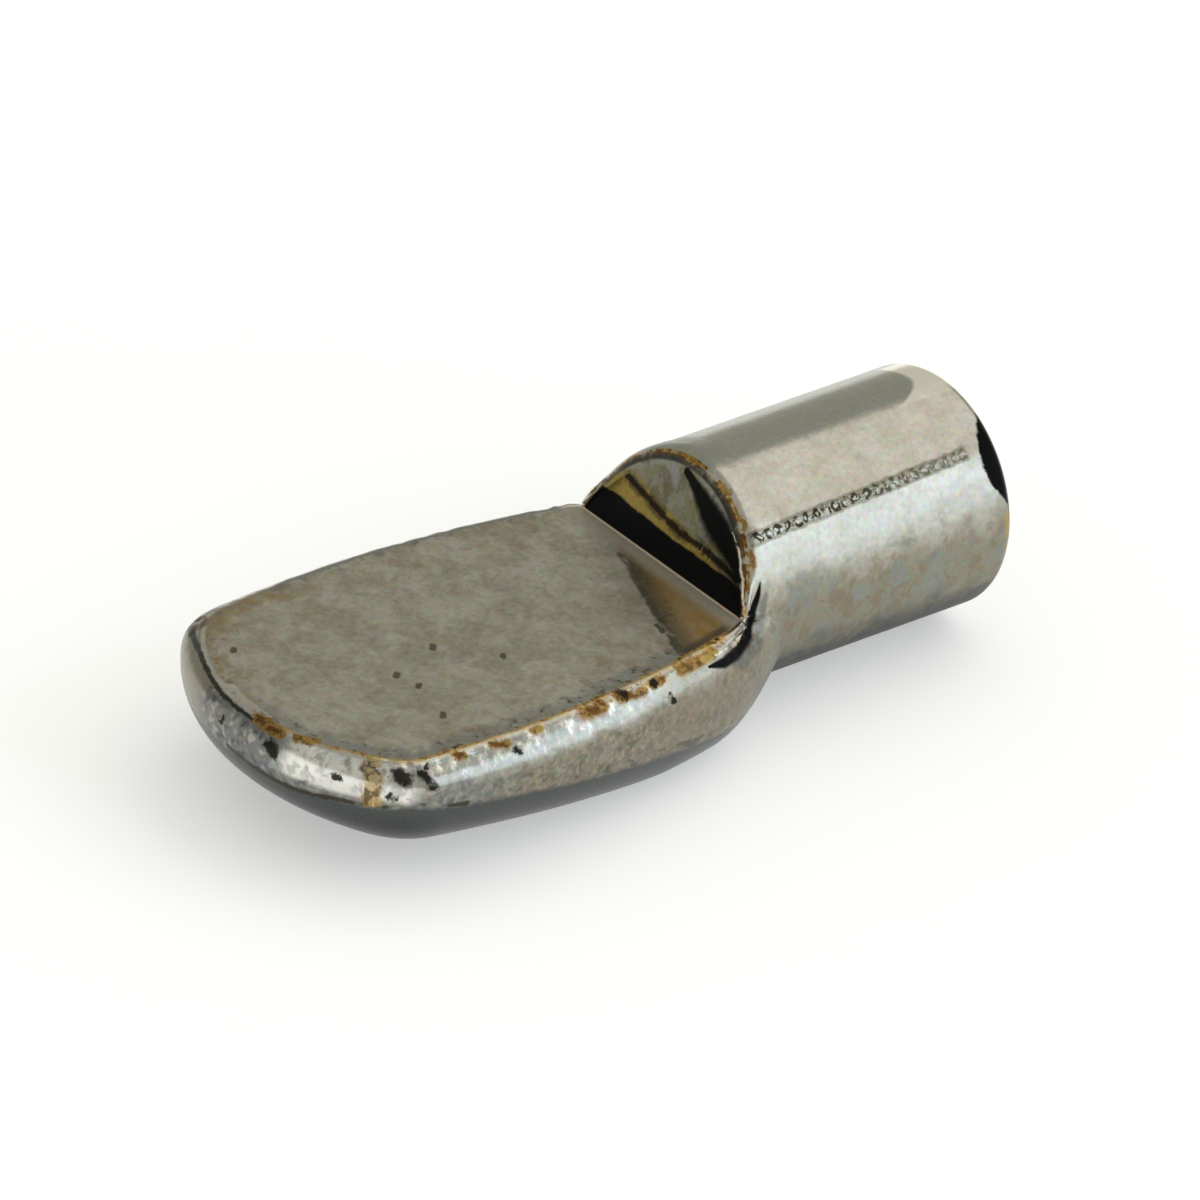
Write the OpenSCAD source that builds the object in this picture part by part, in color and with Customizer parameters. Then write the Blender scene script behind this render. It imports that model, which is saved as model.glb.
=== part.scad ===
// Spoon shelf pin: a round pin that pushes into the hole of a cabinet side, and a flat
// spoon-shaped paddle that carries the shelf. Cold-formed in one piece from round wire.
//
// Frame: millimetres, +Z up. The origin is on the pin's axis, in the plane of the shoulders,
// where the pin leaves the cabinet side. +X runs along the pin to its free end, the paddle
// reaches along -X, and the shelf lies on the paddle's flat top.

/* [Pin] */
// Diameter of the round pin, the same as the hole that it fits
pin_d = 5; // [4:0.5:6]
// Length of the pin from the shoulders to its free end
pin_length = 5.7; // [4:0.1:12]
// Radius of the rounded edge of the free end
pin_end_radius = 0.25; // [0.1:0.05:0.8]
// How far the pin's radius has swelled between the shoulders and the foot of the step wall
root_swell = 0.03; // [0.01:0.01:0.1]

/* [Paddle] */
// Length of the paddle from the shoulders to the tip of the nose
paddle_length = 12.1; // [10.5:0.1:16]
// Width of the paddle between its two upper edges, at the widest place
paddle_width = 7.5; // [6.6:0.1:9]
// Distance from the shoulders to the widest place
widest_at = 7.6; // [6:0.1:9]
// Radius of the long curve of each side, seen from above
side_radius = 23; // [20:1:80]
// Radius of the blunt curve across the nose, seen from above
nose_radius = 4.7; // [4.1:0.1:8]
// Radius of the corner between the nose and each side
corner_radius = 2.15; // [0.8:0.05:2.5]
// Height of the shelf seat above the pin's axis
seat_height = 0.35; // [0:0.05:0.8]
// How far the underside has risen at the nose, above the bottom of the pin
nose_lift = 0.95; // [0:0.05:1.3]
// Distance from the shoulders at which the underside starts to rise
lift_start = 3.4; // [2.6:0.1:5]
// Shape of that rise: 1 is straight, and more is a curve
lift_power = 0.85; // [0.8:0.05:2]

/* [Paddle edges] */
// Width of the soft roll between the seat and the side wall
crest_width = 0.3; // [0.1:0.05:0.6]
// Height of that roll
crest_height = 0.12; // [0.05:0.01:0.3]
// How far the side wall leans out beyond the upper edge
wall_bulge = 0.1; // [0:0.02:0.4]
// Height of the side wall at the nose, from the seat to where the lower edge turns under
nose_wall = 0.6; // [0.4:0.05:1]
// Height of the side wall at the step, with a straight line between the two
step_wall = 1.5; // [1:0.05:2]
// Width of the rounding between the side wall and the underside
lower_edge_width = 1.3; // [0.6:0.05:1.8]

/* [Step and shoulders] */
// Distance from the shoulders back to the foot of the step wall, on the seat
step_setback = 1.4; // [1.2:0.05:1.9]
// Lean of the step wall from upright, toward the free end
step_lean = 16; // [0:1:25]
// Length over which the round pin spreads into the paddle
shoulder_length = 2.3; // [1.9:0.1:3]
// How abruptly the shoulders leave the pin: more is squarer
shoulder_power = 2.1; // [1.5:0.1:4]
// Length of the neck, over which the seat's edges turn in to the ends of the step
neck_length = 0.75; // [0.4:0.05:1.2]
// Shape of the neck from above: 2 is a quarter ellipse, more is squarer
neck_power = 2.25; // [2:0.05:4]
// Share of the side wall's height over which it slants out from below the neck
neck_slant = 0.45; // [0.3:0.05:0.8]

/* [Hidden] */

NICKEL = [0.62, 0.60, 0.56];

pin_r = pin_d / 2;
half_width = paddle_width / 2;
step_x = -step_setback;

// The two lofted ends sink this far into each other's metal, so that they join as one solid
sink = 0.05;
// The forged underside stands this far below the pin
forge_proud = 0.05;
// Strength of the swelling of the shoulder, which makes it stand above the pin halfway
swell = 0.1;
// The round bar reaches this far past the foot of the step wall, inside the paddle
bar_root = 0.3;
// Gap at seat level between the foot of the loft's own step and its rim
rim_gap = 0.05;
// A length beyond the whole part, for cutting
beyond = 4 * pin_d;

// Steps of the loft: round the nose, round a corner, along a side, and through the neck and
// the shoulder
nose_steps = 8;
corner_steps = 6;
side_steps = 10;
neck_steps = 6;
shoulder_steps = 10;
// Rows of the loft across one half: seat, crest, side wall, lower edge and underside
seat_rows = 8;
crest_rows = 6;
wall_rows = 8;
lower_rows = 6;
under_rows = 3;
last_row = seat_rows + crest_rows + wall_rows + lower_rows + under_rows;

// ---- the upper edge of the paddle seen from above: three arcs, each tangent to the next ----

nose_centre = [-paddle_length + nose_radius, 0];
side_centre = [-widest_at, half_width - side_radius];

// The point at distance ra from a and rb from b, on the nose's side of the two
function meet(a, ra, b, rb) =
    let (d = b - a, gap = norm(d), along = (ra * ra - rb * rb + gap * gap) / (2 * gap),
         off = sqrt(max(0, ra * ra - along * along)), e = d / gap,
         p = a + along * e + off * [-e[1], e[0]], q = a + along * e - off * [-e[1], e[0]])
    p[0] < q[0] ? p : q;

corner_centre = meet(nose_centre, nose_radius - corner_radius,
                     side_centre, side_radius - corner_radius);
// Angles from the -X direction where the nose arc gives way to the corner, and it to the side
nose_end = atan2(corner_centre[1] - nose_centre[1], nose_centre[0] - corner_centre[0]);
side_start = atan2(corner_centre[1] - side_centre[1], side_centre[0] - corner_centre[0]);

function on_arc(centre, r, angle) = centre + r * [-cos(angle), sin(angle)];
// Half width of the paddle's upper edge on its side arc, at x
function side_y(x) = side_centre[1] + sqrt(side_radius * side_radius - pow(x - side_centre[0], 2));
side_x0 = on_arc(side_centre, side_radius, side_start)[0];

// Where the neck starts, and half the width of the bar at seat height, in the step's plane
neck_x = step_x - neck_length;
chord = sqrt(pow(pin_r + root_swell, 2) - pow(seat_height, 2));

// How far the seat's edge has turned in from the side arc to the step's end, from 0 to 1
function turned_in(x) =
    let (u = min(1, max(0, (x - neck_x) / neck_length)))
    1 - pow(1 - pow(u, neck_power), 1 / neck_power);

// The line of the side arc from the tip of the nose to the step, with stations closer
// together at the end of the neck
edge_points = concat(
    [for (i = [0 : nose_steps - 1]) on_arc(nose_centre, nose_radius, nose_end * i / nose_steps)],
    [for (i = [0 : corner_steps - 1]) on_arc(corner_centre, corner_radius,
        nose_end + (side_start - nose_end) * i / corner_steps)],
    [for (i = [0 : side_steps - 1]) let (x = side_x0 + (neck_x - side_x0) * i / side_steps)
        [x, side_y(x)]],
    [for (i = [0 : neck_steps - 1]) let (x = neck_x + neck_length * sin(90 * i / neck_steps))
        [x, side_y(x)]]);

// ---- one half of a cross-section ----

// Height of the underside at x
function under_z(x) =
    let (t = max(0, -lift_start - x) / (paddle_length - lift_start))
    -(pin_r + forge_proud) + nose_lift * pow(t, lift_power);

// Height at which the side wall gives way to the lower edge, at x
function wall_foot(x) =
    let (t = (x + paddle_length) / (paddle_length - step_setback))
    seat_height - nose_wall - (step_wall - nose_wall) * t;

// Row j of the forged section whose side arc is reach away from the spine, as [out, z]. The
// crest is an elliptic arc that ends in the slope of the wall, and the wall leans out to
// stand upright where the lower edge begins.
// x is where the row's upper edge lies, and dx is how far x changes for each mm outward.
function forged(j, reach, x, dx) =
    let (c = j - seat_rows, w = c - crest_rows, l = w - wall_rows, u = l - lower_rows,
         turned = turned_in(x), edge = reach + (chord - reach) * turned,
         roll = crest_width + (sink - crest_width) * turned,
         wall_top = seat_height - crest_height, tall = wall_top - wall_foot(x),
         slope = min(0.45, 2 * wall_bulge / tall * crest_height / roll),
         last = acos(slope / (1 - slope)), widest = reach + wall_bulge)
    j <= seat_rows ? [(edge - roll) * j / seat_rows, seat_height] :
    w <= 0 ? let (a = last * c / crest_rows)
        [edge - roll * (1 - sin(a) / sin(last)),
         seat_height - crest_height * (1 - cos(a)) / (1 - cos(last))] :
    l <= 0 ? let (t = w / wall_rows, out = sin(90 * min(1, t / neck_slant)))
        [edge + (reach - edge) * out + wall_bulge * t * (2 - t), wall_top - tall * t] :
    u <= 0 ? let (a = 90 * l / lower_rows, out = widest - lower_edge_width * (1 - cos(a)))
        [out, wall_foot(x) * (1 - sin(a)) + under_z(x + dx * (out - reach)) * sin(a)] :
    let (out = (widest - lower_edge_width) * (1 - u / under_rows))
        [out, under_z(x + dx * (out - reach))];

// ---- drawing the section in toward the pin ----

// How far the shoulder has come at x: 0 where it begins, 1 in the plane of the shoulders
function shoulder_share(x) = max(0, 1 + x / shoulder_length);
// How far the metal has spread toward the paddle section at x, from 0 to 1
function spread(x) = 1 - pow(shoulder_share(x), shoulder_power);
// How far the plain round inside the shoulder stands above the pin: proud of it on the way,
// then sunk into it
function above_pin(x) =
    let (b = pow(shoulder_share(x), 2)) swell * b - (swell + sink) * b * b;

// A row of the section at x, drawn in toward the pin's axis
function drawn_in(p, x) =
    let (r = norm(p), want = pin_r + above_pin(x) + spread(x) * (r - pin_r))
    p * want / r;

// ---- stations of the paddle ----

// The spine point that a station's section starts from: square to the sides, and
// drawn together behind the nose, where the sections fan out
fan = 0.3;
function spine_x(x) = x < nose_centre[0] ? nose_centre[0] + fan * (x - nose_centre[0]) : x;

function paddle_point(e, j) =
    let (s = [spine_x(e[0]), 0], reach = norm(e - s), dir = (e - s) / reach,
         p = forged(j, reach, e[0], dir[0]), q = s + dir * p[0],
         d = j < seat_rows + crest_rows ? [q[1], p[1]] : drawn_in([q[1], p[1]], q[0]))
    [q[0], -d[0], d[1]];

// ---- stations of the shoulder, where the paddle section closes onto the round pin ----

// Polar form of a section point: [radius, angle from straight up]
function polar(p) = [norm(p), atan2(p[0], p[1])];

// Row j of the shoulder's section at x. Over the top and down to seat height it runs inside
// the pin, then it comes out to the side wall's upper end as the crest would
function section_row(j, x) =
    let (inside = pin_r - sink, level = acos(seat_height / pin_r),
         wall = polar(drawn_in(forged(seat_rows + crest_rows, side_y(x), x, 0), x)),
         t = (j - seat_rows) / crest_rows,
         a = j <= seat_rows ? level * j / seat_rows : level + (wall[1] - level) * t,
         r = j <= seat_rows ? inside : inside + (wall[0] - inside) * t)
    j < seat_rows + crest_rows ? [r * sin(a), r * cos(a)] : drawn_in(forged(j, side_y(x), x, 0), x);

// Foot of the step wall: the seat runs in to below the rim, and the crest keeps its roll
function foot_point(j) =
    let (x = step_x + sink, p = section_row(j, x), q = forged(j, side_y(x), x, 0))
    j <= seat_rows ? [x, -p[0], seat_height] :
    j < seat_rows + crest_rows ? [x, -q[0], q[1]] : [x, -p[0], p[1]];

// Station i of the shoulder, from the rim of the step wall to just inside the pin
shoulder_start = step_x + sink + rim_gap;
function shoulder_point(i, j) =
    let (t = i / shoulder_steps, x0 = shoulder_start + (sink - shoulder_start) * t,
         p = section_row(j, x0), rise = max(0, p[1] - seat_height),
         x = min(sink, x0 + rise * tan(step_lean) * (1 - t)))
    [x, -p[0], p[1]];

// ---- the loft as one closed mesh ----

stations = concat(
    [for (k = [0 : len(edge_points) - 2]) [for (j = [0 : last_row]) paddle_point(edge_points[k], j)]],
    [[for (j = [0 : last_row]) foot_point(j)]],
    [for (i = [0 : shoulder_steps]) [for (j = [0 : last_row]) shoulder_point(i, j)]]);
station_count = len(stations);
row_count = last_row + 1;

near_points = [for (s = stations) for (p = s) p];
far_points = [for (p = near_points) [p[0], -p[1], p[2]]];

// Index of a loft point. The spine rows and the tip's own section are shared by both halves
function at(far, i, j) =
    i * row_count + j + (far && i > 0 && j > 0 && j < last_row ? len(near_points) : 0);

function flip(face, turn) = turn ? [for (k = [len(face) - 1 : -1 : 0]) face[k]] : face;

// The two triangles of a patch. Those under the crest are cut along the other diagonal, so
// that no triangle lies wholly in the plane of symmetry at the tip
function patch(a, b, c, d, under) = under ? [[a, b, d], [b, c, d]] : [[a, b, c], [a, c, d]];

loft_faces = concat(
    [for (far = [false, true]) for (i = [0 : station_count - 2]) for (j = [0 : last_row - 1])
        for (f = patch(at(far, i, j), at(far, i + 1, j), at(far, i + 1, j + 1),
                       at(far, i, j + 1), j > seat_rows))
            flip(f, far)],
    [concat([for (j = [0 : last_row]) at(false, station_count - 1, j)],
            [for (j = [last_row - 1 : -1 : 1]) at(true, station_count - 1, j)])]);

module forged_paddle() {
    polyhedron(points = concat(near_points, far_points), faces = loft_faces, convexity = 4);
}

// ---- the round bar ----

// Half-section of the bar: [radius, distance along +X]
module bar_profile() {
    start = step_x - bar_root;
    root_r = pin_r + root_swell * (bar_root + step_setback) / step_setback;
    polygon([[0, start], [root_r, start], [pin_r, 0], [0, 0]]);
    square([pin_r - pin_end_radius, pin_length]);
    square([pin_r, pin_length - pin_end_radius]);
    intersection() {
        translate([pin_r - pin_end_radius, pin_length - pin_end_radius])
            circle(r = pin_end_radius, $fn = 48);
        square([pin_r, pin_length]);
    }
}

module round_bar() {
    rotate([0, 90, 0]) rotate_extrude($fn = 96) bar_profile();
}

// Everything in front of the leaning step wall
module in_front_of_step() {
    translate([step_x, 0, seat_height]) rotate([0, step_lean, 0])
        translate([-beyond, -beyond / 2, -beyond / 2]) cube([beyond, beyond, beyond]);
}

module support_pin() {
    color(NICKEL) union() {
        forged_paddle();
        difference() {
            round_bar();
            in_front_of_step();
        }
    }
}

support_pin();
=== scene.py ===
"""Spoon shelf pin in worn nickel plate: its finished surface, its finish and a plain studio.

Every length in the property groups is in metres. The surface and the finish are worked out
in millimetres in the pin's own frame: the origin is on the pin's axis in the plane of the
shoulders, +X runs to the free end, the paddle reaches along -X and its flat seat faces +Z.
The far half, on the +Y side, mirrors the near one.
"""
import math

import bmesh
import bpy
import numpy as np
from bpy.props import FloatProperty, FloatVectorProperty, PointerProperty
from mathutils import Matrix, Vector


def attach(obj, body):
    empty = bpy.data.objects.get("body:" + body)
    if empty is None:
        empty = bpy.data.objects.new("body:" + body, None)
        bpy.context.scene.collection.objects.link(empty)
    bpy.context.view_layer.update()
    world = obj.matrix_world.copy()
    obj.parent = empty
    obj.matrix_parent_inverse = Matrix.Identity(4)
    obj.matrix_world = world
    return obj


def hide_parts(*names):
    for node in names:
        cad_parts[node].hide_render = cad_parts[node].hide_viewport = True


bl_info = {
    "name": "Spoon shelf pin",
    "version": (1, 0, 0),
    "blender": (4, 5, 0),
    "location": "View3D > Sidebar > Shelf pin",
    "description": "Makes a cold-formed spoon shelf pin in worn nickel plate and its studio",
    "category": "Object",
}

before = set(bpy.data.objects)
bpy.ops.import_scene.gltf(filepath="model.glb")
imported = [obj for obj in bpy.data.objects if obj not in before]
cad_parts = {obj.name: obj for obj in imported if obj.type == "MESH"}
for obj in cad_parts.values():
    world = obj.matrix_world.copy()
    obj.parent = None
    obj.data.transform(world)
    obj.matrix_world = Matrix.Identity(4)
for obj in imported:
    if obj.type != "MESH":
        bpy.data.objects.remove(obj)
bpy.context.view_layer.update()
MM = 0.001


# ---- sizes and colours that a user would change ----

def length(name, description, default):
    """A length in metres, with a name and a note."""
    return FloatProperty(name=name, description=description, default=default,
                         unit="LENGTH", precision=5, min=0.0)


def number(name, description, default, low=0.0, high=10.0):
    """A plain number."""
    return FloatProperty(name=name, description=description, default=default,
                         min=low, max=high, precision=3)


def tint(name, description, default):
    """A linear colour."""
    return FloatVectorProperty(name=name, description=description, default=default,
                               subtype="COLOR", size=3, min=0.0, max=1.0)


class PinSizes(bpy.types.PropertyGroup):
    """The round pin."""
    radius: length("Pin radius", "Radius of the round pin", 0.0025)
    end_x: length("Pin length", "From the shoulders to the free end", 0.0057)
    end_radius: length("End radius", "Rounded edge of the free end", 0.00025)
    root_swell: length("Root swell", "Swelling of the radius at the step wall", 0.00003)


class PaddleSizes(bpy.types.PropertyGroup):
    """The flat paddle seen from above and from the side."""
    reach: length("Crest length", "From the shoulders to the crest at the nose", 0.01205)
    width: length("Crest width across", "Between the crests at the widest place", 0.00702)
    widest_at: length("Widest at", "From the shoulders to the widest place", 0.0075)
    side_radius: length("Side radius", "Long curve of each side", 0.025)
    nose_radius: length("Nose radius", "Blunt curve across the nose", 0.00425)
    corner_radius: length("Corner radius", "Corner of the crest between nose and side", 0.0007)
    wall_reach: length("Wall length", "From the shoulders to the wall at the nose", 0.0122)
    wall_width: length("Wall width", "Between the side walls at the widest place", 0.0077)
    wall_nose: length("Wall nose radius", "Blunt curve of the wall across the nose", 0.0049)
    wall_corner: length("Wall corner radius", "Corner of the wall between nose and side", 0.0018)
    seat: length("Seat height", "Height of the seat above the pin's axis", 0.00035)
    nose_lift: length("Nose lift", "Rise of the underside at the nose", 0.00095)
    lift_start: length("Lift start", "Where the underside starts to rise", 0.0034)
    lift_power: number("Lift shape", "1 is a straight rise, more is a curve", 0.85)
    crest_width: length("Crest width", "Soft roll between seat and side wall", 0.0002)
    crest_height: length("Crest height", "Height of that roll", 0.0001)
    nose_wall: length("Wall at the nose", "Height of the side wall at the nose", 0.0005)
    step_wall: length("Wall at the step", "Height of the side wall at the step", 0.0015)
    lower_width: length("Lower edge width", "Rounding under the side wall", 0.0013)


class StepSizes(bpy.types.PropertyGroup):
    """The step wall and the shoulders."""
    setback: length("Step setback", "From the shoulders back to the step's foot", 0.0014)
    lean: FloatProperty(name="Step lean", description="Lean of the step wall from upright",
                        default=math.radians(16), subtype="ANGLE")
    shoulder: length("Shoulder length", "Length over which pin spreads to paddle", 0.0023)
    power: number("Shoulder shape", "How abruptly the shoulders leave the pin", 2.1)
    neck: length("Neck length", "Over which the seat's edges turn in to the step", 0.00075)
    neck_power: number("Neck shape", "2 is a quarter ellipse, more is squarer", 2.25)
    slant: number("Neck slant", "Share of the wall's height that slants out below the neck", 0.45)
    step_hollow: length("Step hollow", "How far the step wall is hollowed halfway up", 0.00005)
    rim_radius: length("Rim radius", "Rounding of the rim of the step wall", 0.0003)
    foot_radius: length("Foot radius", "Fillet at the foot of the step wall", 0.00005)


class StageSizes(bpy.types.PropertyGroup):
    """Floor, lamps and camera."""
    floor_colour: tint("Floor colour", "Pale floor", (0.93, 0.93, 0.93))
    floor_lift: number("Floor lift", "Added to the floor where camera and metal see it", 0.38)


class FinishSizes(bpy.types.PropertyGroup):
    """Wear and tarnish."""
    crest_wear: length("Crest wear", "How deep the crest is worn and knocked", 0.000008)


GROUPS = (PinSizes, PaddleSizes, StepSizes, FinishSizes, StageSizes)


def in_mm(*groups):
    """The numbers of property groups by name: lengths in millimetres, the rest as they are."""
    values = {}
    for group in groups:
        for prop in group.bl_rna.properties:
            if prop.type == "FLOAT":
                scale = 1 / MM if prop.unit == "LENGTH" else 1.0
                values[prop.identifier] = getattr(group, prop.identifier) * scale
    return values


# ---- the surface, as whole arrays ----

# stations of the paddle, round its edge: nose, corner, long side and neck
NOSE, CORNER, SIDE, NECK = 40, 30, 96, 18
PADDLE = NOSE + CORNER + SIDE + NECK
# stations after it: foot fillet, step wall, rim, shoulder, barrel, rounded end and end face
FOOT, WALL, RIM, SHOULDER, BARREL, END_ROUND, END_CAP = 5, 16, 10, 30, 34, 10, 8
# rows of every section, and the number of the first row of the crest and of the wall
SEAT_ROWS, CREST_ROWS, WALL_ROWS, LOWER_ROWS, UNDER_ROWS = 36, 12, 26, 18, 10
ROWS = SEAT_ROWS + CREST_ROWS + WALL_ROWS + LOWER_ROWS + UNDER_ROWS
CREST0 = SEAT_ROWS
WALL0 = CREST0 + CREST_ROWS
OVER_TOP = np.arange(ROWS) < CREST0
# share of the seat's rows that are evenly spaced; the others crowd toward its edge
EVEN_ROWS = 0.6
# share of the nose over which the middles of its sections are spread
FAN = 0.3
# slope at which the crest meets the wall, at most, and the crest's width where the neck ends
STEEPEST, NECK_ROLL = 0.45, 0.03
# how softly the underside starts to rise, as a share of its length
LIFT_EASE = 0.07
# in mm: how far the forged underside stands below the pin, the swelling of the shoulder and
# how deep its last section lies in the pin
PROUD, SWELL, SINK = 0.05, 0.1, 0.05
# how far in mm the forged section stands out of the bar when it has eased out of it fully, and
# the share of that by which the easing starts early
EASE, EASE_BEFORE = 0.08, 0.3
# heights of the step wall between which the rounding of its rim grows to full size, in mm
RIM_GROWTH = (-0.1, 1.0)
# how far along the pin the rounding of the rim reaches, for each mm across the wall
RIM_REACH = 1.3
# largest share of the wall's height that the foot fillet takes
FOOT_SHARE = 0.3
# how far the rows beside the step wall move on while the wall climbs, in mm
BESIDE_WALL = 0.25
# where the shoulder ends, and where the pin's rows have become evenly spaced, in mm
SHOULDER_END, EVEN_FROM = 0.05, 1.5


def ramp(x, low, high):
    """Smooth step: 0 below low, 1 above high and 3t^2 - 2t^3 between."""
    t = np.clip((x - low) / (high - low), 0.0, 1.0)
    return t * t * (3.0 - 2.0 * t)


def hump(x, start, full, last, end):
    """0 up to start, 1 from full to last and 0 again from end, with smooth steps between."""
    return ramp(x, start, full) * (1 - ramp(x, last, end))


def meet(a, ra, b, rb):
    """Point at distance ra from a and rb from b, on the nose's side of the two centres."""
    d = b - a
    gap = np.hypot(*d)
    along = (ra * ra - rb * rb + gap * gap) / (2 * gap)
    off = math.sqrt(max(0.0, ra * ra - along * along))
    e = d / gap
    p = a + along * e + off * np.array([-e[1], e[0]])
    q = a + along * e - off * np.array([-e[1], e[0]])
    return p if p[0] < q[0] else q


def upper_edge(s):
    """Upper edge of one half of the paddle from above, tip to step: three tangent arcs.

    Each arc is centre + r * (-cos a, sin a): nose, then corner, then long side. The side
    runs on over the neck, with points that crowd toward the step.
    """
    nose = np.array([-s["reach"] + s["nose_radius"], 0.0])
    side = np.array([-s["widest_at"], s["width"] / 2 - s["side_radius"]])
    corner = meet(nose, s["nose_radius"] - s["corner_radius"],
                  side, s["side_radius"] - s["corner_radius"])
    neck_x = -s["setback"] - s["neck"]
    a1 = math.atan2(corner[1] - nose[1], nose[0] - corner[0])
    a2 = math.atan2(corner[1] - side[1], side[0] - corner[0])
    a3 = math.pi - math.acos((neck_x - side[0]) / s["side_radius"])

    def arc(centre, r, angles):
        return centre + r * np.stack([-np.cos(angles), np.sin(angles)], -1)

    x = neck_x + s["neck"] * np.sin(np.linspace(0, math.pi / 2, NECK + 1)[:-1])
    return np.concatenate([
        arc(nose, s["nose_radius"], np.linspace(0, a1, NOSE, endpoint=False)),
        arc(corner, s["corner_radius"], np.linspace(a1, a2, CORNER, endpoint=False)),
        arc(side, s["side_radius"], np.linspace(a2, a3, SIDE, endpoint=False)),
        np.stack([x, side_y(s, x)], -1)])


def wall_sizes(s):
    """The sizes with the side wall's outline in place of the crest's."""
    return {**s, "reach": s["wall_reach"], "width": s["wall_width"],
            "nose_radius": s["wall_nose"], "corner_radius": s["wall_corner"]}


def along_rays(start, direction, outline):
    """How far each ray from (start, 0) runs until it crosses an outline of points."""
    dx, dy = direction[:, :1], direction[:, 1:]
    side = dx * outline[None, :, 1] - dy * (outline[None, :, 0] - start[:, None])
    k = np.argmax(side[:, :-1] * side[:, 1:] <= 0, axis=1)
    n = np.arange(len(start))
    t = side[n, k] / (side[n, k] - side[n, k + 1])
    hit = outline[k] + (outline[k + 1] - outline[k]) * t[:, None]
    return np.hypot(hit[:, 0] - start, hit[:, 1])


def side_y(s, x):
    """Half width of the upper edge on its long side arc, at x."""
    return s["width"] / 2 - s["side_radius"] + np.sqrt(
        s["side_radius"] ** 2 - (x + s["widest_at"]) ** 2)


def chord(s):
    """Half width of the bar at seat height, in the plane of the step's foot."""
    return math.sqrt((s["radius"] + s["root_swell"]) ** 2 - s["seat"] ** 2)


def turned_in(s, x):
    """How far the seat's edge has turned in toward the step at x, from 0 to 1.

    One minus a quarter superellipse over the length of the neck.
    """
    u = np.clip((x + s["setback"] + s["neck"]) / s["neck"], 0.0, 1.0)
    n = s["neck_power"]
    return 1 - (1 - u ** n) ** (1 / n)


def under_z(s, x):
    """Height of the underside: level to lift_start, then a power curve up to the nose.

    The curve starts softly: its share is sqrt(t^2 + e^2) - e, with e = LIFT_EASE.
    """
    t = np.maximum(0.0, -s["lift_start"] - x) / (s["reach"] - s["lift_start"])
    t = (np.hypot(t, LIFT_EASE) - LIFT_EASE) / (math.hypot(1, LIFT_EASE) - LIFT_EASE)
    return -(s["radius"] + PROUD) + s["nose_lift"] * t ** s["lift_power"]


def wall_foot(s, x):
    """Height of the foot of the side wall: a straight line from the nose to the step."""
    t = (x + s["reach"]) / (s["reach"] - s["setback"])
    return s["seat"] - s["nose_wall"] - (s["step_wall"] - s["nose_wall"]) * t


def seat_share():
    """Shares of the half seat's width, more closely spaced toward its edge."""
    k = np.linspace(0, 1, SEAT_ROWS, endpoint=False)
    return EVEN_ROWS * k + (1 - EVEN_ROWS) * np.sin(k * math.pi / 2)


def forged_rows(s, reach, outer, x, dx, turned):
    """Rows of the forged half-section, as (out, z), for columns reach to turned.

    Seat: straight. Crest: elliptic arc that ends in the slope of the wall. Wall: cubic curve
    that leads from reach to outer and ends upright; under the neck it slants out from the
    turned-in crest. Lower edge: quarter ellipse on to the underside. Underside: straight.
    """
    bulge = outer - reach
    top = s["seat"]
    edge = reach + (chord(s) - reach) * turned
    roll = s["crest_width"] * (1 - turned) + NECK_ROLL * turned
    drop, foot = s["crest_height"], wall_foot(s, x)
    tall = top - drop - foot
    flat = (edge - roll) * seat_share()
    slope = np.minimum(STEEPEST, 3 * bulge / tall * drop / roll)
    last = np.arccos(slope / (1 - slope))
    a = last * np.linspace(0, 1, CREST_ROWS, endpoint=False)
    t = np.linspace(0, 1, WALL_ROWS, endpoint=False)
    slanted = np.sin(np.minimum(1.0, t / s["slant"]) * math.pi / 2)
    b = np.linspace(0, math.pi / 2, LOWER_ROWS, endpoint=False)
    low = outer - s["lower_width"] * (1 - np.cos(b))
    under = (outer - s["lower_width"]) * np.linspace(1, 0, UNDER_ROWS)
    out, z = zip(
        (flat, top + 0 * flat),
        (edge - roll * (1 - np.sin(a) / np.sin(last)),
         top - drop * (1 - np.cos(a)) / (1 - np.cos(last))),
        (edge + (reach - edge) * slanted + bulge * (1 - (1 - t) ** 3), top - drop - tall * t),
        (low, foot * (1 - np.sin(b)) + under_z(s, x + dx * (low - reach)) * np.sin(b)),
        (under, under_z(s, x + dx * (under - reach))))
    return np.concatenate(out, 1), np.concatenate(z, 1)


def bar_radius(s, x):
    """Radius of the bar: the pin's, swelling in a straight line back to the step."""
    return s["radius"] + s["root_swell"] * np.clip(-x / s["setback"], 0.0, 1.0)


def drawn_in(s, y, z, x):
    """Section point moved along its radius toward the pin as x nears the shoulders.

    With b the share of the shoulder that is past, its height above the pin is multiplied
    by 1 - b^power, and swell b^2 - (swell + sink) b^4 is added.
    """
    back = np.maximum(0.0, 1 + x / s["shoulder"])
    spread = 1 - back ** s["power"]
    core = s["radius"] + SWELL * back ** 2 - (SWELL + SINK) * back ** 4
    r = np.hypot(y, z)
    k = (core + spread * (r - s["radius"])) / np.maximum(r, 1e-9)
    return y * k, z * k


def above(a, b):
    """The larger of two arrays, with a easing out of b over its first bit of height."""
    d = np.maximum(0.0, a - b)
    return b + d * ramp(d, -EASE_BEFORE * EASE, EASE)


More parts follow.
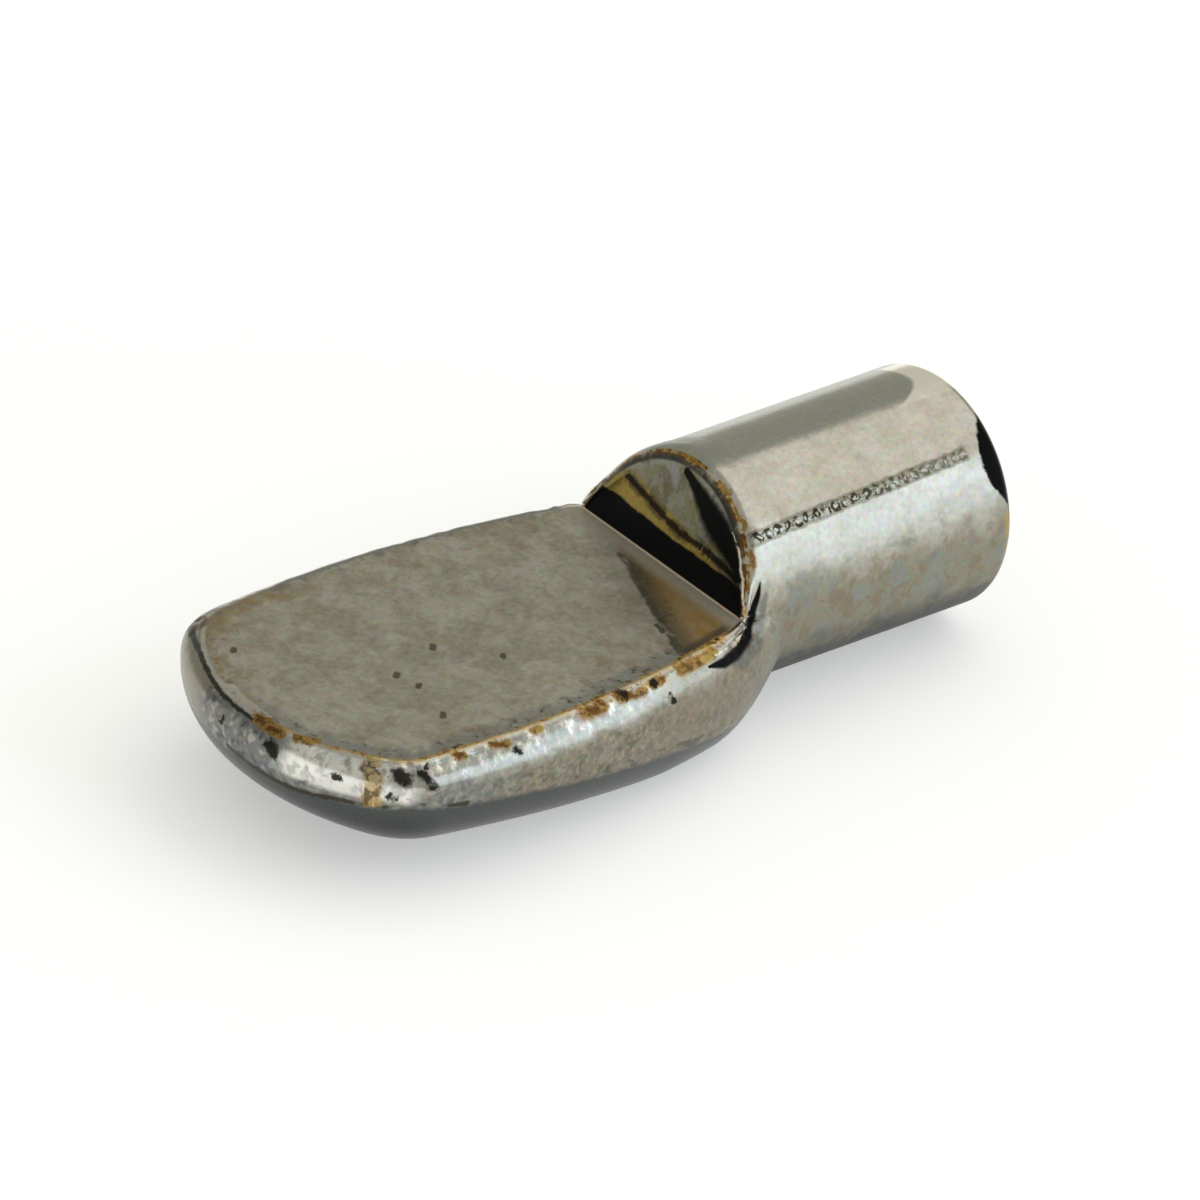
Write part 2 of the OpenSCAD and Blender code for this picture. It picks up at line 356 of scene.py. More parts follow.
def shoulder_section(s, x):
    """Rows of the section at x between step and shoulder plane, as (y, z).

    Over the top and down to seat height it is the bar's circle. The rest is the forged
    section drawn in, wherever it stands outside the bar.
    """
    reach, outer = side_y(s, x), side_y(wall_sizes(s), x)
    fy, fz = forged_rows(s, reach, outer, x, 0.0, np.ones_like(reach))
    fy, fz = drawn_in(s, fy, fz, x)
    bar = bar_radius(s, x)
    top = math.acos(s["seat"] / (s["radius"] + s["root_swell"]))
    angle = np.arctan2(fy, fz)
    crest = np.linspace(0, 1, CREST_ROWS, endpoint=False)
    angle[:, :CREST0] = top * seat_share()
    angle[:, CREST0:WALL0] = top + (angle[:, WALL0:WALL0 + 1] - top) * crest
    r = above(np.hypot(fy, fz), bar + 0 * fy)
    r[:, :CREST0] = bar
    return r * np.sin(angle), r * np.cos(angle)


def bezier(a, b, c, count):
    """Quadratic curve of count points from a to c with its corner at b."""
    t = np.linspace(0, 1, count)[:, None, None]
    return a * (1 - t) ** 2 + b * 2 * t * (1 - t) + c * t * t


def paddle_rows(s):
    """Stations of the paddle: sections square to its edge, which fan out round the nose.

    Below the crest, what lies near the step is drawn in toward the pin.
    """
    edge = upper_edge(s)
    edge_x = edge[:, :1]
    nose_x = -s["reach"] + s["nose_radius"]
    spine = np.where(edge[:, 0] < nose_x, nose_x + FAN * (edge[:, 0] - nose_x), edge[:, 0])
    d = edge - np.stack([spine, 0 * spine], -1)
    reach = np.hypot(d[:, 0], d[:, 1])[:, None]
    d = d / reach
    outer = along_rays(spine, d, upper_edge(wall_sizes(s)))[:, None]
    out, z = forged_rows(s, reach, outer, edge_x, d[:, :1], turned_in(s, edge_x))
    x, y = spine[:, None] + d[:, :1] * out, d[:, 1:] * out
    ny, nz = drawn_in(s, y, z, x)
    near = (x > -s["shoulder"]) & (np.arange(ROWS) >= WALL0) & (edge_x > nose_x)
    return np.stack([x, np.where(near, ny, y), np.where(near, nz, z)], -1)


def step_rows(s):
    """Stations of the step wall: foot fillet, hollowed face and rounded rim.

    The rows outside the wall move on along x meanwhile. Returned with them is how far
    along x the rounding of the rim reaches on each row.
    """
    step_x, seat, lean = -s["setback"], s["seat"], math.tan(s["lean"])
    ex = np.array([1.0, 0.0, 0.0])
    ry, rz = shoulder_section(s, np.full((1, 1), step_x))
    rise = np.maximum(0.0, rz - seat)
    rim = np.stack([step_x + rise * lean, ry, rz], -1)[0]
    foot = rim.copy()
    share = seat_share()
    foot[:CREST0] = np.stack([step_x + 0 * share, chord(s) * share, seat + 0 * share], -1)
    rim_radius = (s["rim_radius"] * ramp(rise[0], *RIM_GROWTH))[:, None]
    inner = rim.copy()
    inner[:, 1:] *= 1 - rim_radius / np.hypot(ry, rz).T
    inner[:, 0] = step_x + np.maximum(0.0, inner[:, 2] - seat) * lean
    up = inner - foot
    tall = np.linalg.norm(up, axis=1)[:, None]
    foot_radius = np.minimum(s["foot_radius"], tall * FOOT_SHARE)
    rounded = up / np.maximum(tall, 1e-6) * foot_radius
    t = np.linspace(0, 1, WALL + 1)[1:-1, None, None]
    face = foot + rounded + (up - rounded) * t
    face = face + ex * s["step_hollow"] * 4 * t * (1 - t) * np.minimum(1.0, up[:, 2:])
    over = rim_radius * RIM_REACH
    wall = np.concatenate([bezier(foot - ex * foot_radius, foot, foot + rounded, FOOT), face,
                           bezier(inner, rim, rim + ex * over, RIM + 1)])
    n = len(wall)
    x = (step_x + BESIDE_WALL * np.arange(n) / (n - 1))[:, None]
    y, z = shoulder_section(s, x)
    return np.where(OVER_TOP[:, None], wall, np.stack([x + 0 * y, y, z], -1)), over[:, 0]


def shoulder_rows(s, over):
    """Stations of the shoulder: rows over the top start at the rim, which reaches over, and
    lean as the wall does; the others go on from where they were beside the wall."""
    step_x, lean = -s["setback"], math.tan(s["lean"])
    t = np.linspace(0, 1, SHOULDER + 1)[1:, None]
    x0 = step_x + (SHOULDER_END - step_x) * t
    y0, z0 = shoulder_section(s, x0)
    leaning = x0 + (np.maximum(0.0, z0 - s["seat"]) * lean + over) * (1 - t)
    start = step_x + BESIDE_WALL
    x1 = start + (SHOULDER_END - start) * t
    y1, z1 = shoulder_section(s, x1)
    return np.stack([np.where(OVER_TOP, leaning, x1), np.where(OVER_TOP, y0, y1),
                     np.where(OVER_TOP, z0, z1)], -1)


def barrel_rows(s, last):
    """Stations of the round pin, its rounded end and its end face, from the last section on.

    The rows of that section even out along the pin.
    """
    end, er = s["end_x"], s["end_radius"]
    even = np.linspace(0, math.pi, ROWS)
    x = np.linspace(SHOULDER_END, end - er, BARREL + 1)[1:, None]
    share = ramp(x, SHOULDER_END, EVEN_FROM)
    angle = np.arctan2(last[:, 1], last[:, 2]) * (1 - share) + even * share
    a = np.linspace(0, math.pi / 2, END_ROUND + 1)[1:, None]
    flat = (s["radius"] - er) * np.linspace(1, 0, END_CAP + 1)[1:, None]
    return np.concatenate([
        np.stack([along + 0 * turn, r * np.sin(turn), r * np.cos(turn)], -1)
        for along, r, turn in ((x, s["radius"], angle),
                               (end - er + er * np.sin(a), s["radius"] - er + er * np.cos(a), even),
                               (end, flat, even + 0 * flat))])


def half_surface(s):
    """One half of the whole pin as a grid of points, stations by rows.

    Stations run from the tip of the nose to the middle of the end face. Rows run from
    the top of the plane of symmetry out over the edge and back to its bottom.
    """
    wall, over = step_rows(s)
    shoulder = shoulder_rows(s, over)
    return np.concatenate([paddle_rows(s), wall, shoulder, barrel_rows(s, shoulder[-1])])


# the sections of the paddle fade out between these two places, and beyond them a point counts
# as this far from the crest or the rim, in mm
SECTIONS_FADE, FAR = (-0.6, 0.0), 3.0
# heights and depths in mm of the lip, the groove and the ripple of the whole surface
LIP_HEIGHT, GROOVE_DEPTH, RIPPLE_DEPTH = 0.04, 0.05, 0.0015
# the worn band of the crest: its middle in across, and how far it spreads, in mm
WORN_MIDDLE, WORN_SPREAD = 0.05, 0.22
# dents along the crest and down the wall: the band of across where their centres lie, how
# many there are, and their radii and depths, in mm
DENTS = (((-0.3, 0.3), 150, (0.09, 0.22), (0.004, 0.018)),
         ((0.25, 1.3), 110, (0.1, 0.3), (0.003, 0.012)))


def lengths(grid, axis):
    """How far each point of a grid lies from the first one, measured along an axis of it."""
    steps = np.linalg.norm(np.diff(grid, axis=axis), axis=2)
    first = np.zeros_like(np.take(grid[..., 0], [0], axis=axis))
    return np.concatenate([first, np.cumsum(steps, axis=axis)], axis)


def marks(s, half):
    """Values for the finish on the grid of one half, in mm.

    across: distance down the section from the middle of the crest, less than 0 on the seat.
    up_step: distance up the step wall from its foot, less than 0 on the seat.
    past_rim: distance from the rim of the step, less than 0 on the wall.
    over_top: 1 on the rows over the top.
    """
    x = half[..., 0]
    across = lengths(half, 1)
    across = across - across[:, CREST0 + CREST_ROWS // 2, None]
    on_section = 1 - ramp(x, *SECTIONS_FADE)
    along = lengths(half, 0)
    up_step = along - along[PADDLE]
    up_step[:PADDLE] = x[:PADDLE] + s["setback"]
    past_rim = along - along[PADDLE + FOOT + WALL - 1 + RIM // 2]
    past_rim[:PADDLE] = -FAR
    return {"across": across * on_section + FAR * (1 - on_section), "up_step": up_step,
            "past_rim": past_rim, "over_top": OVER_TOP + 0.0 * x}


def neck_relief(s, half, mark):
    """How far the lip at the neck stands out and the groove beside it lies in, in mm.

    The lip runs on from the crest, round the neck and up the near end of the rim, and the
    groove runs outside it. Both fade and thin out upward. The numbers are places in mm.
    """
    x, z = half[..., 0], half[..., 2]
    across, past_rim = mark["across"], mark["past_rim"]
    top = OVER_TOP & (np.arange(len(half)) >= PADDLE)[:, None]
    up_rim = top * (1 - ramp(z, 0.5, 1.15))
    thin = np.clip((1.25 - z) / 0.9, 0.05, 1.0)
    neck = hump(x, -2.15, -1.75, -1.15, -0.9) * ~top * (z < s["seat"] + 0.01)
    lip = hump(past_rim, -0.25, 0.0, 0.05, 0.14) * up_rim
    lip += hump(across, -0.12, 0.0, 0.05, 0.14) * neck
    groove = hump(past_rim, 0.06, 0.16, 0.16 + 0.2 * thin, 0.24 + 0.3 * thin) * up_rim
    groove += hump(across, 0.08, 0.16, 0.3, 0.42) * neck
    return LIP_HEIGHT * lip - GROOVE_DEPTH * groove


def dents(points, centres, radii, depths):
    """Depth of round dents, each depth * (1 - (distance / radius)^2)^2 inside its radius."""
    total = np.zeros(len(points))
    for centre, radius, depth in zip(centres, radii, depths):
        near = np.flatnonzero(np.abs(points - centre).max(axis=1) < radius)
        d2 = ((points[near] - centre) ** 2).sum(axis=1) / radius ** 2
        total[near] += depth * np.clip(1 - d2, 0, 1) ** 2
    return total


def ripple(points, scale, seed):
    """Smooth noise from -1 to 1: a mean of sines of random direction and phase."""
    random = np.random.default_rng(seed)
    waves = random.normal(size=(3, 12))
    waves /= np.linalg.norm(waves, axis=0) * scale * random.uniform(0.7, 1.5, 12)
    phase = random.uniform(0, 2 * math.pi, 12)
    return np.sin(points @ waves * 2 * math.pi + phase).mean(axis=1) * 2


def wear(points, across, crest_wear):
    """How far wear moves each point out along its normal, in mm.

    The crest is uneven, seeded dents lie along it and down the side wall, and the whole
    surface has a faint ripple.
    """
    random = np.random.default_rng(7)
    band = np.exp(-((across - WORN_MIDDLE) / WORN_SPREAD) ** 2)
    lift = crest_wear * band * (ripple(points, 0.55, 3) + 0.6 * ripple(points, 0.26, 4))
    for (low, high), count, radii, depths in DENTS:
        places = np.flatnonzero((across > low) & (across < high))
        centres = points[random.choice(places, count, replace=False)]
        lift -= dents(points, centres, random.uniform(*radii, count),
                      random.uniform(*depths, count))
    return lift - RIPPLE_DEPTH * ripple(points, 1.1, 5)


def whole_faces(stations, rows):
    """Which points of the grid the far half adds, and the quads of both halves.

    The near half keeps every point. The far half adds one for each point that lies off
    the plane of symmetry, and its faces run the other way round.
    """
    near = np.arange(stations * rows).reshape(stations, rows)
    far = near.copy()
    inner = np.ones((stations, rows), bool)
    inner[:, 0] = inner[:, -1] = False
    inner[0] = False
    far[inner] = stations * rows + np.arange(inner.sum())
    faces = []
    for grid, flip in ((near, False), (far, True)):
        quad = np.stack([grid[:-1, :-1], grid[1:, :-1], grid[1:, 1:], grid[:-1, 1:]], -1)
        quad = quad.reshape(-1, 4)
        faces.append(quad[:, ::-1] if flip else quad)
    return inner, np.concatenate(faces)


def outward(points, faces):
    """Unit normals at the points: the sum of the normals of the faces round each."""
    a, b, c, d = (points[faces[:, k]] for k in range(4))
    n = np.cross(c - a, d - b)
    normals = np.zeros_like(points)
    for k in range(4):
        np.add.at(normals, faces[:, k], n)
    size = np.linalg.norm(normals, axis=1, keepdims=True)
    normals = normals / np.maximum(size, 1e-12)
    middle = np.array([-2.0, 0.0, -0.5])
    return normals * np.sign((normals * (points - middle)).sum())


def new_piece(name, points, faces, attributes, material):
    """Mesh object from points in mm, with its doubles merged and its float attributes."""
    mesh = bpy.data.meshes.new(name)
    mesh.from_pydata((points * MM).tolist(), [], faces.tolist())
    for key, values in attributes.items():
        layer = mesh.attributes.new(key, "FLOAT", "POINT")
        layer.data.foreach_set("value", np.ascontiguousarray(values, np.float32))
    piece = bpy.data.objects.new(name, mesh)
    bpy.context.scene.collection.objects.link(piece)
    bm = bmesh.new()
    bm.from_mesh(mesh)
    bmesh.ops.remove_doubles(bm, verts=bm.verts, dist=2e-7)
    bmesh.ops.dissolve_degenerate(bm, edges=bm.edges, dist=1e-7)
    bmesh.ops.recalc_face_normals(bm, faces=bm.faces)
    bm.to_mesh(mesh)
    bm.free()
    mesh.shade_smooth()
    mesh.materials.append(material)
    return piece


# ---- finish ----

class Wire:
    """A value on its way through a node tree. Arithmetic on it adds Math nodes."""

    def __init__(self, tree, socket):
        self.tree, self.socket = tree, socket

    def math(self, operation, *others):
        """The output of a Math node whose inputs are this wire and the others."""
        return wire(self.tree, "Math", 0, enumerate((self, *others)), operation=operation)

    def __add__(self, other):
        return self.math("ADD", other)

    def __sub__(self, other):
        return self.math("SUBTRACT", other)

    def __mul__(self, other):
        return self.math("MULTIPLY", other)

    def most(self, other):
        """The larger of the two."""
        return self.math("MAXIMUM", other)

    def least(self, other):
        """The smaller of the two."""
        return self.math("MINIMUM", other)

    def unsigned(self):
        """The value without its sign."""
        return self.math("ABSOLUTE")

    def squared(self):
        """The value times itself."""
        return self.math("POWER", 2.0)

    def inverse(self):
        """One minus the value."""
        return self * -1 + 1

    def above(self, low, high):
        """Smooth step from 0 at low to 1 at high."""
        return wire(self.tree, "MapRange", 0, {"Value": self, "From Min": low, "From Max": high},
                    interpolation_type="SMOOTHSTEP")

    def below(self, low, high):
        """Smooth step from 1 at low to 0 at high."""
        return self.above(low, high).inverse()

    def band(self, low, high, soft):
        """1 between low and high, fading to 0 over soft on both sides."""
        return self.above(low - soft, low) * self.below(high, high + soft)


def feed(tree, socket, value):
    """Links a wire to a socket, or sets the socket to a plain value or a colour."""
    if isinstance(value, Wire):
        tree.links.new(value.socket, socket)
    else:
        socket.default_value = (*value, 1) if socket.type == "RGBA" else value


def wire(tree, kind, output, inputs=(), **settings):
    """An output of a new shader node of a kind, with its settings made and its inputs fed."""
    node = tree.nodes.new("ShaderNode" + kind)
    for key, value in settings.items():
        setattr(node, key, value)
    for key, value in dict(inputs).items():
        feed(tree, node.inputs[key], value)
    return Wire(tree, node.outputs[output])


def parts(tree, vector):
    """The x, y and z of a vector."""
    x = wire(tree, "SeparateXYZ", 0, {0: vector})
    return [Wire(tree, socket) for socket in x.socket.node.outputs]


def object_mm(tree, stretch=(1, 1, 1)):
    """Object coordinates in millimetres, each axis multiplied by its stretch."""
    return wire(tree, "Mapping", 0, {"Vector": wire(tree, "TexCoord", "Object"),
                                     "Scale": [k / MM for k in stretch]})


def noise(tree, place, scale, detail=4.0, roughness=0.55, distortion=0.0, output=0):
    """Fractal noise from about 0 to 1, or its colour, with scale waves to the millimetre."""
    return wire(tree, "TexNoise", output, {"Vector": place, "Scale": scale, "Detail": detail,
                                           "Roughness": roughness, "Distortion": distortion})


def blend(tree, share, first, second, blend_type="MIX"):
    """Colour mix: the first at share 0, the second at share 1."""
    return wire(tree, "Mix", 2, {0: share, 6: first, 7: second}, data_type="RGBA",
                blend_type=blend_type)


def mix(tree, share, first, second):
    """Mix of two numbers: the first at share 0, the second at share 1."""
    return wire(tree, "Mix", 0, {0: share, 2: first, 3: second})


def vector_math(tree, operation, *inputs, output="Vector"):
    """An output of a Vector Math node."""
    return wire(tree, "VectorMath", output, enumerate(inputs), operation=operation)


def mottled(tree, colour, place, scale, strength):
    """The colour with its red, green and blue varied a little, each by its own noise."""
    speckle = noise(tree, place, scale, 3.0, 0.6, output="Color")
    return blend(tree, strength, colour, speckle, "OVERLAY")


def frayed(tree, place, scale, amount):
    """The place moved about by noise, so that what is drawn at it has ragged edges."""
    off = noise(tree, place, scale, 4.0, 0.65, output="Color")
    off = vector_math(tree, "SUBTRACT", off, (0.5, 0.5, 0.5))
    return vector_math(tree, "MULTIPLY_ADD", off, (amount, amount, amount), place)


def from_line(tree, place, points, radii=None):
    """Distance of a place from a line through the points, in mm or in the line's own radii."""
    nearest = None
    radii = radii or (1.0,) * len(points)
    for start, end, first, last in zip(points[:-1], points[1:], radii[:-1], radii[1:]):
        d = Vector(end) - Vector(start)
        off = vector_math(tree, "SUBTRACT", place, start)
        share = vector_math(tree, "DOT_PRODUCT", off, d / d.length_squared, output="Value")
        share = share.most(0.0).least(1.0)
        along = wire(tree, "VectorMath", 0, {0: d, "Scale": share}, operation="SCALE")
        gap = vector_math(tree, "LENGTH", vector_math(tree, "SUBTRACT", off, along), output="Value")
        gap = gap.math("DIVIDE", share * (last - first) + first)
        nearest = gap if nearest is None else nearest.least(gap)
    return nearest


def strokes(tree, place, drawn, thickness=1.0):
    """1 within any stroke, fading at its edge. A stroke is (radius or radii, points)."""
    share = None
    for radii, points in drawn:
        radii = radii if isinstance(radii, tuple) else (radii * thickness,) * len(points)
        stroke = from_line(tree, place, points, radii).below(*STROKE_EDGE)
        share = stroke if share is None else share.most(stroke)
    return share


class Coat:
    """Layers over bare metal: each has a colour, a metallic value and a roughness."""

    def __init__(self, tree, colour, metallic, roughness):
        self.tree, self.colour, self.metallic, self.roughness = tree, colour, metallic, roughness

    def lay(self, share, colour=None, metallic=None, roughness=None):
        """Lays a layer over the others as far as its share goes. What is None stays."""
        if colour is not None:
            self.colour = blend(self.tree, share, self.colour, colour)
        if metallic is not None:
            self.metallic = mix(self.tree, share, self.metallic, metallic)
        if roughness is not None:
            self.roughness = mix(self.tree, share, self.roughness, roughness)


# linear colours of the metal, its tarnish and its dirt, and of painted shade, painted reflections and
# painted highlights
NICKEL_LIGHT = (0.53, 0.51, 0.45)
NICKEL_DULL = (0.42, 0.39, 0.32)
NICKEL_WORN = (0.5, 0.48, 0.42)
# bright nickel, for bright metal and for painted reflections
BRIGHT_NICKEL_AND_REFLECTION = (0.9, 0.89, 0.84)
SEAT_LIGHT = (0.455, 0.435, 0.36)
SEAT_DULL = (0.29, 0.265, 0.2)
# painted dull reflection band along the top of the pin
TOP_REFLECTION_DULL = (0.39, 0.385, 0.335)
BAND_GREY = (0.3, 0.3, 0.27)
# painted shade of the side wall below its band
WALL_SHADE_BEIGE = (0.25, 0.22, 0.16)
WALL_SHADE_GREY = (0.23, 0.23, 0.21)
NOSE_BEIGE = (0.27, 0.25, 0.2)
NOSE_GREY = (0.19, 0.19, 0.175)
NOSE_BLUE = (0.15, 0.165, 0.19)
# dark greys for specks and blots, and for painted shade under the wall and at the neck
GREY_SPECKS_AND_SHADE = (0.082, 0.088, 0.085)
DARK_BLOTS_AND_SHADE = (0.042, 0.047, 0.044)
# the pin's painted shade: dull, with brown and blue-grey patches, and darkest at the bottom
PIN_SHADE_DULL = (0.265, 0.255, 0.19)
PIN_BROWN = (0.23, 0.185, 0.12)
PIN_BLUE = (0.25, 0.27, 0.27)
PIN_SHADE_DARK = (0.035, 0.035, 0.03)
ROOT_GREY = (0.3, 0.3, 0.26)
END_NICKEL = (0.42, 0.4, 0.34)
# painted highlight at the end of that band
TIP_HIGHLIGHT = (1.0, 0.95, 0.83)
STRIP_GREY = (0.23, 0.24, 0.235)
FOOT_GREY = (0.36, 0.32, 0.25)
TAN = (0.26, 0.165, 0.052)
BROWN_OLIVE = (0.075, 0.055, 0.023)
OLIVE_GREY = (0.16, 0.15, 0.085)
OLIVE_GOLD = (0.22, 0.155, 0.035)
GOLD = (0.46, 0.31, 0.09)
GOLD_BROWN = (0.26, 0.135, 0.018)
PIT_BROWN = (0.05, 0.04, 0.018)
RUST = (0.1, 0.045, 0.012)
# peach-white for painted highlights
PEACH_HIGHLIGHT = (0.72, 0.6, 0.44)
EDGE_OLIVE = (0.035, 0.029, 0.014)
DARK_BROWN = (0.012, 0.009, 0.005)
# black for painted dark reflections and painted shade
REFLECTION_AND_SHADE_BLACK = (0.005, 0.005, 0.005)

# distance from a stroke's line at which it starts to fade and is gone, in its own radii
STROKE_EDGE = (0.55, 1.15)
# strokes on the finished surface: a radius for all points or one for each, and points, in mm
SEAT_PITS = (
    (0.1, ((-7.38, -0.13, 0.35), (-7.3, -0.05, 0.35))),
    (0.075, ((-6.38, -1.11, 0.35), (-6.32, -1.03, 0.35))),
    (0.085, ((-8.65, -0.57, 0.35), (-8.57, -0.49, 0.35))),
    (0.07, ((-8.53, -1.11, 0.35), (-8.45, -1.03, 0.35))),
    (0.085, ((-8.8, -2.19, 0.35), (-8.72, -2.11, 0.35))),
    (0.08, ((-10.85, 1.83, 0.35), (-10.77, 1.91, 0.35))),
    (0.07, ((-2.72, -1.62, 0.35), (-2.8, -1.74, 0.35))),
    (0.07, ((-2.98, -1.76, 0.35), (-3.05, -2.0, 0.35))))
CREST_STAINS = (
    (0.17, ((-11.9, -0.34, 0.33), (-11.88, -0.9, 0.3))),
    (0.13, ((-11.74, -1.3, 0.33), (-11.55, -1.6, 0.33))),
    (0.12, ((-9.4, -3.38, 0.28), (-9.25, -3.42, 0.28))),
    (0.15, ((-8.55, -3.46, 0.28), (-8.3, -3.5, 0.26))),
    (0.12, ((-7.55, -3.45, 0.3), (-7.35, -3.45, 0.3))),
    (0.2, ((-6.2, -3.48, 0.25), (-5.78, -3.44, 0.27))),
    (0.13, ((-5.3, -3.38, 0.27), (-4.65, -3.38, 0.2))),
    (0.11, ((-4.4, -3.3, 0.27), (-4.05, -3.28, 0.24))),
    (0.18, ((-3.55, -3.2, 0.25), (-2.6, -3.05, 0.22))))
CREST_DARK = (
    ((0.1, 0.09, 0.07, 0.065, 0.06, 0.06, 0.05, 0.05, 0.03),
     ((-10.76, 3.27, 0.12), (-10.99, 2.89, 0.2), (-11.29, 2.37, 0.28), (-11.55, 1.88, 0.31),
      (-11.82, 1.22, 0.29), (-11.95, 0.79, 0.28), (-12.0, 0.36, 0.28), (-12.01, -0.01, 0.28),
      (-12.0, -0.36, 0.28))),)
CORNER_STAIN = ((0.2, ((-10.6, 3.28, 0.22), (-10.75, 3.05, 0.28))),)
CREST_SPOTS = (
    (0.12, ((-5.2, -3.32, 0.32), (-5.12, -3.34, 0.31))),
    (0.1, ((-4.34, -3.28, 0.28), (-4.3, -3.3, 0.26))),
    (0.07, ((-4.01, -3.46, 0.0), (-3.9, -3.5, -0.22))),
    (0.1, ((-8.1, -3.66, 0.12), (-8.04, -3.68, 0.07))),
    (0.07, ((-10.16, -3.35, 0.27), (-10.12, -3.37, 0.25))),
    (0.22, ((-10.72, -3.21, 0.15), (-10.6, -3.3, 0.08))),
    (0.14, ((-10.28, -3.42, 0.16), (-10.2, -3.57, -0.03))),
    (0.12, ((-10.92, -3.2, -0.23), (-10.86, -3.26, -0.27))),
    (0.16, ((-12.1, -0.88, 0.06), (-12.07, -0.98, -0.02))),
    (0.1, ((-11.59, -2.33, -0.02), (-11.53, -2.41, -0.06))),
    (0.08, ((-12.18, 0.45, -0.02), (-12.18, 0.49, -0.12))))
GOLD_STREAK = ((0.23, ((-11.02, -2.79, 0.24), (-11.13, -3.0, -0.34))),)
RIM_STAINS = (
    (0.07, ((-0.75, 0.34, 2.4), (-0.72, 0.05, 2.44))),
    (0.1, ((-0.74, -0.72, 2.33), (-0.74, -0.95, 2.25))),
    (0.09, ((-0.82, -1.48, 1.98), (-0.84, -1.65, 1.86))),
    (0.09, ((-0.9, -2.05, 1.43), (-0.93, -2.15, 1.3))))
EDGE_LINE = (
    (0.08,
     ((-12.14, 0.28, -0.56), (-12.04, -0.85, -0.67), (-11.87, -1.49, -0.69), (-11.52, -2.39, -0.54),
      (-10.97, -3.14, -0.47), (-10.38, -3.54, -0.4), (-9.36, -3.77, -0.62))),)
# painted highlights along the lip at the neck
NECK_LIP = (
    ((0.01, 0.025, 0.035, 0.03, 0.02),
     ((-1.0, -1.49, 1.73), (-1.05, -1.8, 1.5), (-1.18, -2.12, 1.06), (-1.35, -2.45, 0.59),
      (-1.54, -2.63, 0.35))),
    ((0.03, 0.07, 0.07, 0.055, 0.02),
     ((-2.55, -3.05, 0.19), (-1.88, -2.84, 0.12), (-1.38, -2.5, 0.19), (-1.2, -2.38, 0.54),
      (-1.02, -2.32, 0.92))))
# painted shade in the groove outside the lip
NECK_GROOVE = (
    ((0.03, 0.14, 0.18, 0.18, 0.13, 0.09, 0.04),
     ((-2.8, -3.18, 0.08), (-2.35, -3.12, 0.0), (-1.96, -2.97, 0.0), (-1.39, -2.62, 0.04),
      (-1.12, -2.43, 0.4), (-0.96, -2.36, 0.72), (-0.88, -2.31, 0.95))),)
NECK_SHADE = (
    ((0.1, 0.24, 0.24, 0.2, 0.1),
     ((-2.2, -3.3, -0.1), (-1.75, -3.13, -0.15), (-1.2, -2.83, -0.08), (-0.93, -2.6, 0.3),
      (-0.78, -2.48, 0.7))),)
# the same on the step wall, seen along the pin's axis, so that x is left out
BROWN_LINE = ((0, 1.6, 1.4), (0, 0.64, 1.19), (0, -0.1, 1.06), (0, -0.99, 1.05), (0, -2.0, 0.95))
# the second is a painted dark reflection: the black crescent inside the rim
STEP_DARK_REFLECTION = (
    ((0.1, 0.22, 0.36, 0.42, 0.34, 0.2, 0.08),
     ((0, 0.15, 2.22), (0, -0.3, 2.0), (0, -0.78, 1.74), (0, -1.15, 1.58), (0, -1.5, 1.42),
      (0, -1.8, 1.22), (0, -2.08, 0.98))),)
# the corner of the seat with the painted reflection of the step wall ends where
# x + CORNER_SLOPE * y is CORNER_END, in mm
CORNER_SLOPE, CORNER_END = -0.39, -2.1
# the wall's lower edge is highest at LOW_X and falls by LOW_FALL for each mm from there, in mm
LOW_X, LOW_Z, LOW_FALL = -10.6, -0.42, 0.14
# the painted dull reflection band on top of the pin ends at TOP_END in mm, and sooner by TOP_BEND
# for the square of each degree past TOP_SIDE; a painted highlight lies just past it
TOP_END, TOP_SIDE, TOP_BEND = 5.0, -7, 0.0029
# painted dark reflection at the pin's end: its middle and half its width in degrees from the top,
# its ends, and its depth in mm
MARK_MIDDLE, MARK_HALF, MARK_ENDS, MARK_DEPTH = 50, 26, (25, 76), 0.54
# painted dark reflection line of small loops along the pin: its angle from the top at x = 0 and its
# turn for each mm, in degrees, then its two ends, half its width, and the length and radius of its
# loops, in mm
REFLECTED_LINE_ANGLE, REFLECTED_LINE_TURN = 47.3, -0.85
REFLECTED_LINE_ENDS, REFLECTED_LINE_HALF, LOOP_LENGTH, LOOP_RADIUS = (-0.8, 4.85), 0.1, 0.26, 0.085
# height of the relief that the light meets, in metres, and the shares of its two noises
RELIEF, GRAIN_SHARE, PATCH_SHARE = 0.000004, 0.7, 0.8
# noise that varies the metal's colour: its waves to the mm and its strength
MOTTLE, MOTTLE_STRENGTH = 9.0, 0.3


